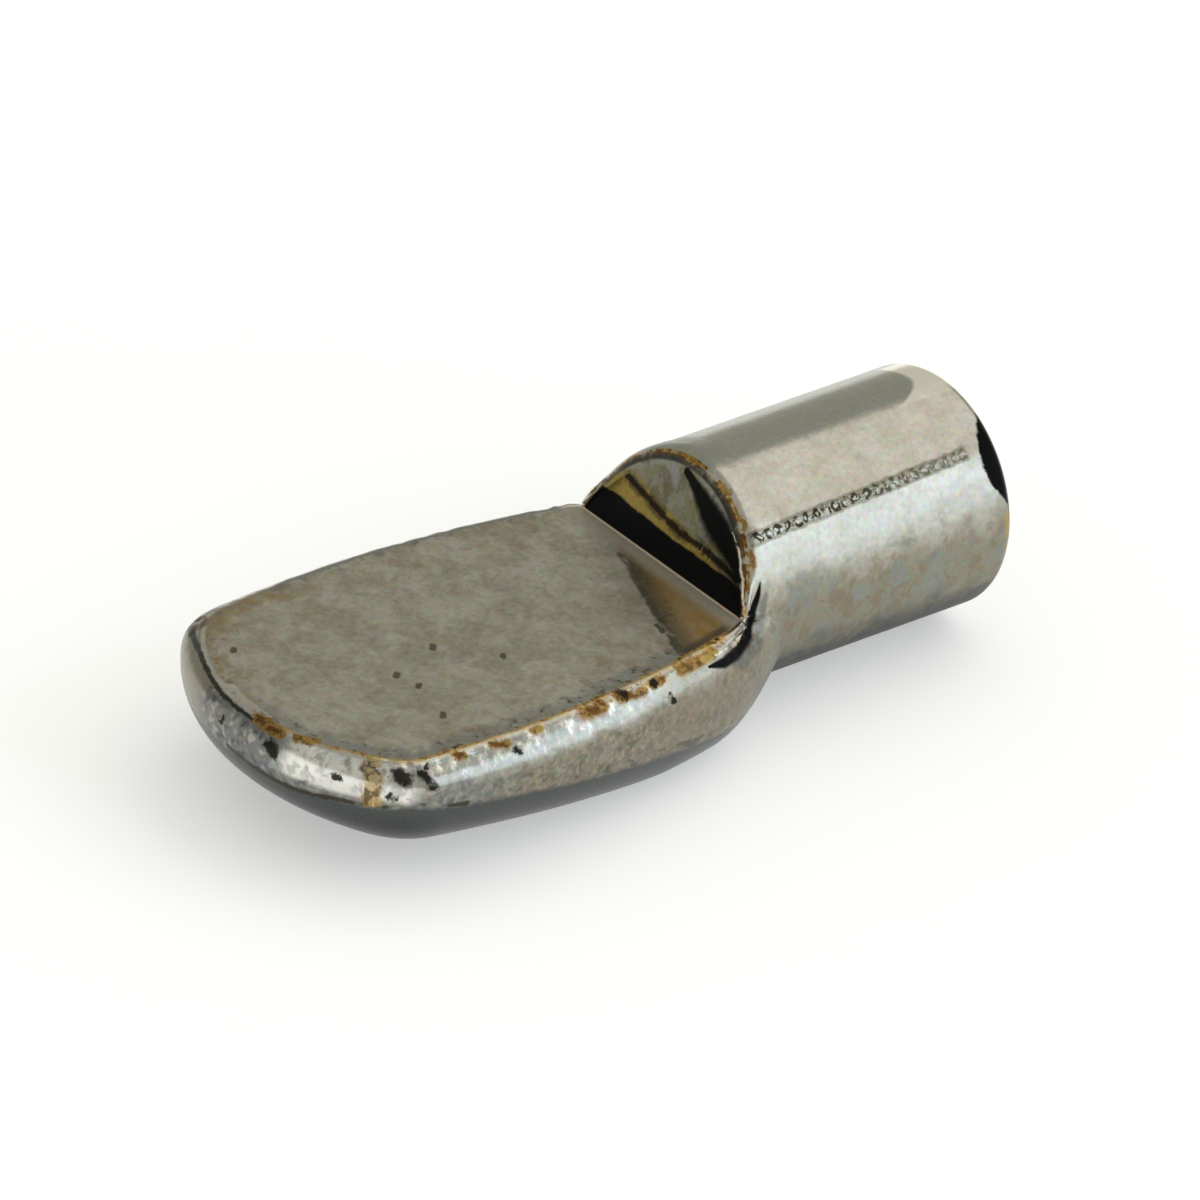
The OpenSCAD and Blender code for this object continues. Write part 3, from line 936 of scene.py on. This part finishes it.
class Place:
    """The places and noises that all layers use.

    In the layers, the numbers given to above, below and band are places in mm, degrees
    round the pin, or levels of a noise, most of which lies between 0.3 and 0.7.
    """

    def __init__(self, tree):
        self.tree, self.at = tree, object_mm(tree)
        self.x, self.y, self.z = parts(tree, self.at)
        self.across, self.up_step, self.past_rim, self.over_top = (
            wire(tree, "Attribute", "Fac", attribute_name=name)
            for name in ("across", "up_step", "past_rim", "over_top"))
        self.patchy = noise(tree, self.at, 1.5, 5.0, 0.62, 0.4)
        self.grain = noise(tree, self.at, 7.0, 3.0, 0.6)
        self.ragged = noise(tree, self.at, 2.6, 5.0, 0.65, 0.5)
        self.blots = noise(tree, self.at, 5.0, 1.5, 0.5, 0.6)
        self.streaks = noise(tree, object_mm(tree, (5.0, 5.0, 1.0)), 1.0, 4.0, 0.6)
        self.frayed = frayed(tree, frayed(tree, self.at, 2.0, 0.3), 7.0, 0.26)
        self.soft = frayed(tree, self.at, 6.0, 0.12)

    def torn(self, drawn, thickness=1.0):
        """Strokes with ragged edges."""
        return strokes(self.tree, self.frayed, drawn, thickness)

    def traced(self, drawn):
        """Strokes with slightly uneven edges."""
        return strokes(self.tree, self.soft, drawn)


def coat_wall(coat, p):
    """Side wall: a band below the crest with painted reflection streaks, beige painted shade below it,
    then a dark underside of painted shade.
    """
    lay = coat.lay
    wall = p.x.below(-1.2, -0.4) * p.across.above(-0.02, 0.06)
    fall = p.across + (p.patchy - 0.5) * 0.5
    # painted shade: the wall below the band is darker, grey toward the nose and beige toward the step
    lower = blend(p.tree, p.x.above(-9.5, -7.5), WALL_SHADE_GREY, WALL_SHADE_BEIGE)
    lay(wall * fall.above(0.26, 0.84), lower, roughness=0.3)
    lay(wall * fall.above(0.38, 0.75) * p.ragged.above(0.52, 0.62) * 0.5, BAND_GREY)
    lay(wall * fall.above(0.38, 0.75) * p.ragged.below(0.38, 0.48) * 0.45, GREY_SPECKS_AND_SHADE)
    lay(wall * p.grain.above(0.52, 0.62) * 0.25, NICKEL_WORN)
    lay(wall * p.grain.below(0.38, 0.48) * 0.3, GREY_SPECKS_AND_SHADE)
    # painted reflection: bright streaks in the band below the crest toward the nose
    band = wall * fall.below(0.12, 0.8) * p.x.below(-5.8, -3.8)
    lay(band, NICKEL_WORN, roughness=0.24)
    lay(band * p.streaks.below(0.44, 0.58), BAND_GREY)
    lay(band * p.streaks.above(0.56, 0.66) * 0.7, BRIGHT_NICKEL_AND_REFLECTION)
    # painted shade: the wall is darkened again toward the step
    lay(wall * p.x.above(-5.2, -3.4) * 0.45, lower)
    # painted reflection: a bright band on the wall at the near corner of the nose
    front_reflection = wall * p.x.below(-10.7, -10.3) * p.y.band(-3.4, -1.4, 0.5) * p.across.below(0.75, 0.9)
    lay(front_reflection * p.ragged.above(0.32, 0.45) * (p.patchy * 0.9 + 0.3).least(1.0), BRIGHT_NICKEL_AND_REFLECTION)
    lay(front_reflection * p.blots.below(0.34, 0.54) * 0.5, BAND_GREY)
    nose = wall * p.y.above(-1.5, -0.8) * p.x.below(-9.5, -8.5)
    lay(nose, NOSE_GREY, roughness=0.3)
    lay(nose * p.y.above(0.8, 1.6), NOSE_BEIGE)
    blot = nose * p.y.below(0.9, 1.6)
    lay(blot * p.ragged.above(0.48, 0.56) * 0.7, NOSE_BLUE)
    lay(blot * p.blots.above(0.53, 0.7) * 0.55, NICKEL_WORN)
    lay(blot * p.blots.below(0.31, 0.47) * 0.6, DARK_BLOTS_AND_SHADE)
    # painted shade: the wall's lower edge and underside are dark grey, darker toward the bottom
    edge = (p.x - LOW_X).unsigned() * -LOW_FALL + LOW_Z
    depth = edge - p.z + (p.patchy - 0.5) * 0.15
    below = p.x.below(-1.6, -0.8) * p.across.above(0.2, 0.4)
    lay(below * depth.above(-0.02, 0.12), GREY_SPECKS_AND_SHADE, roughness=0.3)
    lay(below * depth.above(0.15, 0.7), DARK_BLOTS_AND_SHADE, metallic=0.6)
    lay(p.traced(EDGE_LINE) * 0.85, EDGE_OLIVE)
    right = below * depth.band(-0.16, 0.02, 0.06) * p.ragged.above(0.5, 0.62) * p.x.above(-9, -8)
    lay(right * 0.6, EDGE_OLIVE)


def coat_seat(coat, p):
    """Seat: a grey strip of painted reflection inside the near crest, faint brown patches, and
    a painted reflection of the step wall in the corner by the step.
    """
    lay = coat.lay
    seat = p.x.below(-1.44, -1.4) * p.across.below(-0.14, -0.06)
    near = p.y.below(-0.6, 0.8)
    # painted reflection: a grey strip just inside the near crest
    strip = seat * p.across.above(-0.62, -0.42) * near
    lay(strip * p.ragged.above(0.38, 0.52) * 0.75, STRIP_GREY)
    lay(strip * p.grain.above(0.58, 0.64) * p.ragged.above(0.42, 0.5) * 0.7, EDGE_OLIVE)
    faint = seat * p.across.above(-1.8, -0.5) * p.ragged.above(0.5, 0.62)
    lay(faint * 0.35, TAN)
    lay(seat * p.across.above(-0.5, -0.15) * p.ragged.below(0.38, 0.5) * 0.5, BROWN_OLIVE)
    far = seat * p.y.above(2.0, 2.8) * p.x.below(-8.8, -7.8) * p.across.above(-0.75, -0.35)
    lay(far * p.ragged.above(0.38, 0.52) * 0.55, TAN)
    # painted reflection: the step wall's mirror image in the seat's corner, in tan, gold-brown and dark
    # olive
    past = p.x + p.y * CORNER_SLOPE - CORNER_END + (p.ragged - 0.5) * 0.16 + (p.patchy - 0.5) * 0.2
    corner = past.above(-0.14, 0.12) * p.x.below(-1.75, -1.55) * seat
    lay(corner * 0.9, TAN, metallic=0.2, roughness=0.55)
    lay(corner * p.ragged.above(0.42, 0.58) * 0.65, GOLD_BROWN)
    dark = past.below(0.0, 0.6) * p.y.below(0.4, 1.2)
    lay(corner * dark * (p.patchy * 0.8 + 0.55), BROWN_OLIVE, metallic=0.3)
    line = past.band(-0.1, 0.0, 0.09) * p.x.below(-1.95, -1.75) * p.y.above(-3.0, -2.6) * seat
    lay(line * p.ragged.above(0.3, 0.5) * 0.8, EDGE_OLIVE)
    lay(corner * p.grain.above(0.6, 0.66) * past.below(0.2, 0.4) * 0.8, DARK_BROWN)
    lay(corner * p.across.above(-0.42, -0.25) * 0.8, EDGE_OLIVE)
    lay(seat * p.x.above(-2.7, -1.8) * past.below(-0.1, 0.1) * 0.7, metallic=0.2, roughness=0.55)
    foot = p.x.above(-1.98, -1.62) * p.x.below(-1.44, -1.4) * seat
    lay(foot * 0.9, FOOT_GREY, metallic=0.2, roughness=0.55)


def coat_crest(coat, p):
    """Crest: a thin gold line, brown stains and dark spots along it."""
    lay = coat.lay
    on = p.x.below(-1.9, -1.7)
    level = p.across + (p.grain - 0.5) * 0.16
    line = on * level.band(-0.13, -0.06, 0.04)
    near = p.y.below(-1.0, 0.0)
    lay(line * near * p.ragged.above(0.36, 0.5) * 0.75, GOLD, roughness=0.3)
    wide = on * level.band(-0.12, 0.1, 0.06) * near * p.x.above(-7.5, -5.5)
    lay(wide * p.ragged.above(0.5, 0.58) * 0.8, GOLD, metallic=0.9)
    lay(wide * p.grain.above(0.54, 0.62) * 0.8, GOLD_BROWN, metallic=0.9)
    lay(line * p.y.above(1.5, 2.5) * p.x.above(-9.5, -8.5) * 0.8, STRIP_GREY)
    left = p.x.below(-10.9, -10.5) * p.y.above(-1.0, -0.5)
    inside = on * left * level.band(-0.24, -0.12, 0.05)
    lay(inside * p.y.above(0.8, 1.6) * p.ragged.above(0.42, 0.54) * 0.7, TAN)
    lay(inside * p.y.below(0.8, 1.6) * p.ragged.above(0.4, 0.5) * 0.6, NICKEL_LIGHT)
    lay(p.torn(CORNER_STAIN) * 0.8, RUST)
    lay(p.traced(CREST_DARK) * 0.95, DARK_BROWN, metallic=0.5)
    lay(line * near * (p.ragged + p.grain * 0.5).above(0.78, 0.84) * 0.8, GOLD_BROWN)
    low = p.across.below(0.15, 0.4)
    stain = p.torn(CREST_STAINS) * low
    lay(stain * 0.9, GOLD_BROWN, metallic=0.9, roughness=0.35)
    lay(p.torn(CREST_STAINS, 0.6) * low * p.grain.above(0.4, 0.5) * 0.9, RUST)
    lay(stain * p.ragged.above(0.54, 0.62) * 0.6, GOLD)
    streak = p.torn(GOLD_STREAK)
    lay(streak * 0.75, GOLD)
    lay(streak * p.ragged.above(0.5, 0.58) * 0.8, BROWN_OLIVE)
    lay(streak * p.streaks.above(0.56, 0.66) * 0.8, BRIGHT_NICKEL_AND_REFLECTION)
    specks = line * near * p.grain.above(0.6, 0.66) * p.ragged.above(0.45, 0.55)
    lay(specks.most(p.torn(CREST_SPOTS)) * 0.95, DARK_BROWN, roughness=0.5)


def coat_step(coat, p):
    """Step wall: painted dark reflection as black band and crescent, gold band, brown line, stained rim.
    """
    lay = coat.lay
    step = p.over_top * p.up_step.above(0.0, 0.03) * p.past_rim.below(-0.16, -0.08)
    face_on = vector_math(p.tree, "MULTIPLY", p.soft, (0, 1, 1))
    height = p.z + p.y.most(0.0) * -0.05 + (p.ragged - 0.5) * 0.12
    lay(step, OLIVE_GREY, roughness=0.25)
    lay(step * p.ragged.above(0.45, 0.55) * 0.6, NOSE_GREY)
    lay(step * p.z.above(1.7, 2.1) * p.ragged.above(0.4, 0.6) * 0.3, STRIP_GREY)
    lay(step * p.z.above(1.1, 1.3) * p.patchy.below(0.42, 0.5) * 0.55, BROWN_OLIVE)
    line = from_line(p.tree, face_on, BROWN_LINE)
    gold = p.z.below(1.25, 1.6) * (height + p.y * -0.2).below(1.16, 1.24)
    lay(step * gold * (p.patchy * 0.6 + 0.6), OLIVE_GOLD)
    lay(step * line.below(0.1, 0.2) * p.ragged.above(0.42, 0.52) * 0.7, EDGE_OLIVE)
    lay(step * line.below(0.04, 0.1) * p.ragged.above(0.28, 0.4) * 0.95, DARK_BROWN)
    lay(step * (line - 0.16).unsigned().below(0.03, 0.06) * p.patchy.above(0.5, 0.6) * 0.7, OLIVE_GOLD)
    # painted dark reflection: the crescent inside the rim and the band low on the wall are painted black
    black = strokes(p.tree, face_on, STEP_DARK_REFLECTION)
    lay(step * black.most(height.below(0.83, 0.89)), REFLECTION_AND_SHADE_BLACK, roughness=0.4)
    dark = p.over_top * p.past_rim.band(-0.18, -0.09, 0.04) * p.x.below(-0.7, -0.6) * p.z.above(0.9, 1.2)
    lay(dark * (p.ragged.above(0.36, 0.56) * 0.5 + 0.4), DARK_BROWN, metallic=0.4)
    rim = p.over_top * p.past_rim.band(-0.05, 0.02, 0.03) * p.x.above(-1.5, -1.3)
    lay(rim * p.ragged.above(0.46, 0.54) * 0.9, GOLD, roughness=0.3)
    lay(rim * (p.ragged + p.grain * 0.6).above(0.8, 0.88), GOLD_BROWN, metallic=0.9)
    lay(rim * p.grain.above(0.54, 0.62) * 0.9, RUST)
    inner = p.over_top * p.past_rim.band(-0.09, -0.05, 0.02) * p.x.above(-1.5, -1.3)
    lay(inner * p.ragged.above(0.4, 0.52) * 0.85, RUST)
    rim_stain = p.torn(RIM_STAINS)
    lay(rim_stain * 0.9, GOLD_BROWN, metallic=0.9)
    lay(rim_stain * p.grain.above(0.5, 0.58) * 0.8, GOLD)
    lay(strokes(p.tree, p.at, NECK_SHADE) * 0.55, GREY_SPECKS_AND_SHADE)
    # painted shade: the groove outside the lip is painted black
    lay(strokes(p.tree, p.at, NECK_GROOVE), REFLECTION_AND_SHADE_BLACK, roughness=0.35)
    # painted highlight along the lip at the neck
    lay(p.traced(NECK_LIP) * 0.9, PEACH_HIGHLIGHT)
    # painted highlight: a thin line along the foot of the step wall
    foot = p.over_top * p.up_step.band(-0.05, 0.02, 0.03) * p.x.below(-1.2, -1.0)
    lay(foot * 0.8, PEACH_HIGHLIGHT)


def coat_pin(coat, p, s):
    """Pin: painted shade below and behind, a painted dark reflection line of small loops, a painted
    reflection band and highlight on top, and a dark edge of painted reflection at its plain end.
    """
    lay = coat.lay
    out = (p.y.squared() + p.z.squared()).math("SQRT").above(s["radius"] - 0.2, s["radius"] - 0.12)
    pin = p.x.above(-0.95, -0.7) * out
    angle = (p.y * -1).math("ARCTAN2", p.z) * math.degrees(1)
    rough_angle = angle + (p.patchy - 0.5) * 30
    # painted shade: the pin is painted duller below, and darkest at the bottom
    low = rough_angle.above(62, 88).most(rough_angle.below(-150, -120))
    side = p.x.above(-1.6, -0.4) * out.most(p.x.below(5.0, 5.3))
    lay(side * angle.above(50, 62), roughness=0.34)
    lay(side * low, PIN_SHADE_DULL)
    lay(side * low * p.ragged.above(0.5, 0.57) * 0.65, PIN_BROWN)
    lay(side * low * p.patchy.above(0.53, 0.6) * 0.6, PIN_BLUE)
    lay(side * rough_angle.above(102, 128), PIN_SHADE_DARK, metallic=0.3, roughness=0.5)
    # painted reflection: a dull band along the top of the pin, ending in a bent line
    past_top = p.x - TOP_END + (angle - TOP_SIDE).most(0.0).squared() * TOP_BEND
    lay(pin * angle.below(5, 10) * past_top.below(-0.1, 0.1), TOP_REFLECTION_DULL)
    # painted shade along the far side of the top
    lay(pin * angle.below(-34, -24), PIN_SHADE_DULL)
    lay(p.x.band(-0.9, -0.1, 0.3) * angle.band(-60, 5, 5) * 0.6, ROOT_GREY, roughness=0.4)
    # painted highlight just past the end of that band
    tip = past_top.above(-0.07, 0.07) * angle.below(4, 12) * out
    lay(tip * angle.above(-34, -24) * 0.95, TIP_HIGHLIGHT)
    # painted dark reflection: a broken line of small loops along the pin
    reflected_line = (angle - (p.x * REFLECTED_LINE_TURN + REFLECTED_LINE_ANGLE)) * (math.radians(1) * s["radius"])
    reflected_line = reflected_line + (p.ragged - 0.5) * 0.16
    along = p.x.band(*REFLECTED_LINE_ENDS, 0.1)
    faded = p.x.below(1.0, 5.5) * 0.45 + 0.55
    lay(along * reflected_line.band(-REFLECTED_LINE_HALF, REFLECTED_LINE_HALF, 0.06) * 0.45, PIN_SHADE_DULL)
    lay(along * reflected_line.unsigned().band(REFLECTED_LINE_HALF, REFLECTED_LINE_HALF + 0.04, 0.04) * 0.45, BROWN_OLIVE)
    cell = ((p.x + (p.ragged - 0.5) * 0.7) * (1 / LOOP_LENGTH)).math("FRACT") - 0.5
    ring = ((cell * LOOP_LENGTH).squared() + reflected_line.squared()).math("SQRT")
    lay(along * ring.below(0.02, 0.06) * 0.6, NICKEL_WORN)
    ring = ring.band(LOOP_RADIUS - 0.03, LOOP_RADIUS + 0.02, 0.03)
    lay(along * ring * p.grain.above(0.36, 0.52) * faded, EDGE_OLIVE)
    to_end = p.x - s["end_x"]
    edge = to_end.above(-0.16, -0.08) * out
    lay(edge * p.ragged.above(0.38, 0.5) * 0.8, GOLD_BROWN, metallic=0.8)
    # painted dark reflection on the rounded edge of the pin's end
    bow = ((angle - MARK_MIDDLE) * (1 / MARK_HALF)).squared() * -MARK_DEPTH + MARK_DEPTH
    black = (to_end + bow + (p.ragged - 0.5) * 0.3).above(-0.03, 0.04) * angle.band(*MARK_ENDS, 3)
    lay(black * out, REFLECTION_AND_SHADE_BLACK, roughness=0.35)
    bottom = to_end.above(-0.3, -0.2) * angle.band(78, 96, 4) * out
    lay(bottom * p.ragged.above(0.4, 0.55) * 0.7, GOLD)
    # painted shade at the bottom of the end's edge
    lay(edge * angle.band(68, 90, 4) * 0.8, PIN_SHADE_DARK)
    face = p.x.above(5.3, 5.5) * out.inverse()
    lay(face, END_NICKEL, roughness=0.3)
    lay(face * p.ragged.above(0.5, 0.64) * 0.5, TAN)


def nickel_finish(s):
    """Worn nickel plate: mottled metal, with tarnish, dirt, stains, painted shade, painted reflections
    and painted highlights laid over it in turn.
    """
    material = bpy.data.materials.new("worn_nickel")
    material.use_nodes = True
    tree = material.node_tree
    shader = tree.nodes["Principled BSDF"]
    p = Place(tree)
    seat = p.x.below(-1.46, -1.4) * p.across.below(-0.2, -0.05)
    dull = p.patchy.above(0.36, 0.64) * 0.6
    coat = Coat(tree, blend(tree, dull + p.grain.above(0.35, 0.7) * 0.35, NICKEL_LIGHT, NICKEL_DULL),
                1.0, seat * (p.grain * 0.16 + 0.14) + p.grain * 0.1 + 0.14)
    coat.lay(seat, blend(tree, dull + p.grain.above(0.35, 0.7) * 0.4, SEAT_LIGHT, SEAT_DULL))
    coat_wall(coat, p)
    coat_seat(coat, p)
    coat_pin(coat, p, s)
    coat_crest(coat, p)
    coat_step(coat, p)
    coat.lay(p.traced(SEAT_PITS) * 0.8, PIT_BROWN)
    height = p.grain * GRAIN_SHARE + p.patchy * PATCH_SHARE
    bump = {"Strength": 1.0, "Distance": RELIEF, "Height": height}
    for key, value in (("Base Color", mottled(tree, coat.colour, p.at, MOTTLE, MOTTLE_STRENGTH)),
                       ("Metallic", coat.metallic), ("Roughness", coat.roughness),
                       ("Normal", wire(tree, "Bump", 0, bump))):
        feed(tree, shader.inputs[key], value)
    return material


class SHELFPIN_OT_make_pin(bpy.types.Operator):
    """Makes the whole pin as one closed surface in worn nickel plate"""
    bl_idname = "shelfpin.make_pin"
    bl_label = "Make the shelf pin"

    def execute(self, context):
        scene = context.scene
        s = in_mm(scene.shelfpin_pin, scene.shelfpin_paddle, scene.shelfpin_step,
                  scene.shelfpin_finish)
        half = half_surface(s)
        inner, faces = whole_faces(*half.shape[:2])

        def both(grid):
            """Values of the near half and of the points that the far half adds."""
            return np.concatenate([grid.reshape(-1, *grid.shape[2:]), grid[inner]])

        mark = marks(s, half)
        relief = both(neck_relief(s, half, mark))
        mark = {key: both(values) for key, values in mark.items()}
        points = np.concatenate([half.reshape(-1, 3) * (1, -1, 1), half[inner]])
        out = relief + wear(points, mark["across"], s["crest_wear"])
        points = points + outward(points, faces) * out[:, None]
        piece = new_piece("support_pin_surface", points, faces, mark, nickel_finish(s))
        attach(piece, "root")
        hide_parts("support_pin")
        return {"FINISHED"}


# ---- stage ----

# half the floor's side in metres, and its height in mm, just under the part
FLOOR_HALF, FLOOR_Z = 0.6, -2.56
# distance of the lamps from the origin, in metres, and for each lamp its direction from there,
# the direction of its first side, the lengths of its sides, its radiance and its colour
LAMP_DISTANCE = 0.5
LAMPS = {
    "lamp_above": ((0.583, -0.032, 0.812), (0, 1, 0), (0.54, 0.42), 0.58, (1.0, 0.985, 0.95)),
    "lamp_side": ((0.583, -0.730, 0.356), (0, -0.438, -0.899), (0.34, 0.45), 1.42, (0.70, 0.83, 1.0))}
# linear colours of the sky: low down, high up, and low down before the nose
SKY_LOW, SKY_HIGH, SKY_BEFORE = (0.51, 0.51, 0.45), (0.54, 0.54, 0.50), (0.95, 0.96, 0.95)
# where the camera stands round the origin, in degrees and mm, how many pixels a mm takes up
# there, and the pixel (cx, cy) on which the origin lies in a frame of FRAME_SIDE pixels
CAMERA = dict(azimuth=-42.96, elevation=31.33, roll=6.31, distance=443.0, pixels_per_mm=50.4,
              cx=714.7, cy=558.5)
FRAME_SIDE = 1200
# width of the camera's sensor in mm, and its nearest and farthest plane in metres
SENSOR, CLIP = 36.0, (0.01, 10.0)


def placed(name, data, right, up, back, place):
    """Object with its axes along right, up and back, at a place in metres."""
    piece = bpy.data.objects.new(name, data)
    piece.matrix_world = Matrix((*zip(right, up, back, place), (0, 0, 0, 1)))
    bpy.context.scene.collection.objects.link(piece)
    return piece


def softbox(name, direction, along, size, radiance, colour):
    """Area lamp of the given radiance, LAMP_DISTANCE from the origin in a direction.

    Its first side runs as nearly along the given vector as it can.
    """
    lamp = bpy.data.lights.new(name, "AREA")
    lamp.shape = "RECTANGLE"
    lamp.size, lamp.size_y = size
    lamp.energy = radiance * math.pi * size[0] * size[1]
    lamp.color = colour
    back = Vector(direction).normalized()
    right = Vector(along)
    right = (right - back * right.dot(back)).normalized()
    placed(name, lamp, right, back.cross(right), back, back * LAMP_DISTANCE)


def studio_sky():
    """World: a soft, slightly warm grey, with a lighter patch low down before the nose."""
    world = bpy.data.worlds.new("studio")
    world.use_nodes = True
    tree = world.node_tree
    x, _, z = parts(tree, wire(tree, "TexCoord", "Generated"))
    sky = blend(tree, z.above(0.3, 0.9), SKY_LOW, SKY_HIGH)
    sky = blend(tree, x.below(-0.75, -0.4) * z.below(0.15, 0.4), sky, SKY_BEFORE)
    feed(tree, tree.nodes["Background"].inputs["Color"], sky)
    return world


def pale_floor(colour, lift):
    """Matt floor that camera and glossy rays see brighter by lift, so that it nears white."""
    paint = bpy.data.materials.new("pale_floor")
    paint.use_nodes = True
    tree = paint.node_tree
    camera, glossy, through = (wire(tree, "LightPath", "Is %s Ray" % kind)
                               for kind in ("Camera", "Glossy", "Transmission"))
    for key, value in (("Base Color", colour), ("Roughness", 0.9), ("Specular IOR Level", 0.0),
                       ("Emission Color", (1, 1, 1)),
                       ("Emission Strength", camera.most(glossy).most(through) * lift)):
        feed(tree, tree.nodes["Principled BSDF"].inputs[key], value)
    return paint


def place_camera(scene):
    """Camera on a sphere round the origin, rolled, then turned so that the origin lies
    (cx, cy) pixels into the frame."""
    c = CAMERA
    a, e, roll = (math.radians(c[k]) for k in ("azimuth", "elevation", "roll"))
    back = Vector((math.sin(a) * math.cos(e), -math.cos(a) * math.cos(e), math.sin(e)))
    right = (-back).cross(Vector((0, 0, 1))).normalized()
    up = right.cross(-back)
    right, up = (math.cos(roll) * right + math.sin(roll) * up,
                 -math.sin(roll) * right + math.cos(roll) * up)
    focal = c["pixels_per_mm"] * c["distance"]
    off_x, off_y = FRAME_SIDE / 2 - c["cx"], c["cy"] - FRAME_SIDE / 2
    forward = (-back * focal + right * off_x + up * off_y).normalized()
    right = (right - forward * right.dot(forward)).normalized()
    data = bpy.data.cameras.new("camera")
    data.sensor_width = SENSOR
    data.lens = focal / FRAME_SIDE * SENSOR
    data.clip_start, data.clip_end = CLIP
    scene.camera = placed("camera", data, right, right.cross(forward), -forward,
                          back * c["distance"] * MM)


class SHELFPIN_OT_make_stage(bpy.types.Operator):
    """Makes the pale floor, the soft lamps and the camera"""
    bl_idname = "shelfpin.make_stage"
    bl_label = "Make the stage"

    def execute(self, context):
        scene = context.scene
        settings = scene.shelfpin_stage
        mesh = bpy.data.meshes.new("floor")
        k, z = FLOOR_HALF, FLOOR_Z * MM
        mesh.from_pydata([(-k, -k, z), (k, -k, z), (k, k, z), (-k, k, z)], [], [(0, 1, 2, 3)])
        floor = bpy.data.objects.new("floor", mesh)
        scene.collection.objects.link(floor)
        mesh.materials.append(pale_floor(settings.floor_colour, settings.floor_lift))
        scene.world = studio_sky()
        for name, lamp in LAMPS.items():
            softbox(name, *lamp)
        place_camera(scene)
        scene.view_settings.view_transform = "Standard"
        return {"FINISHED"}


# ---- panel and registration ----

class SHELFPIN_PT_panel(bpy.types.Panel):
    """Lists the operators that make the pin and its stage"""
    bl_idname = "SHELFPIN_PT_panel"
    bl_label = "Shelf pin"
    bl_space_type = "VIEW_3D"
    bl_region_type = "UI"
    bl_category = "Shelf pin"

    def draw(self, context):
        for operator in OPERATORS:
            self.layout.operator(operator.bl_idname)


OPERATORS = (SHELFPIN_OT_make_pin, SHELFPIN_OT_make_stage)
CLASSES = GROUPS + OPERATORS + (SHELFPIN_PT_panel,)
POINTERS = {"shelfpin_pin": PinSizes, "shelfpin_paddle": PaddleSizes,
            "shelfpin_step": StepSizes, "shelfpin_finish": FinishSizes,
            "shelfpin_stage": StageSizes}


def register():
    """Registers the classes and hangs the property groups on the scene."""
    for cls in CLASSES:
        bpy.utils.register_class(cls)
    for name, group in POINTERS.items():
        setattr(bpy.types.Scene, name, PointerProperty(type=group))


def unregister():
    """Takes away what register() added."""
    for name in POINTERS:
        delattr(bpy.types.Scene, name)
    for cls in reversed(CLASSES):
        bpy.utils.unregister_class(cls)


def main():
    register()
    for operator in OPERATORS:
        group, call = operator.bl_idname.split(".")
        getattr(getattr(bpy.ops, group), call)()


if __name__ == "__main__":
    main()
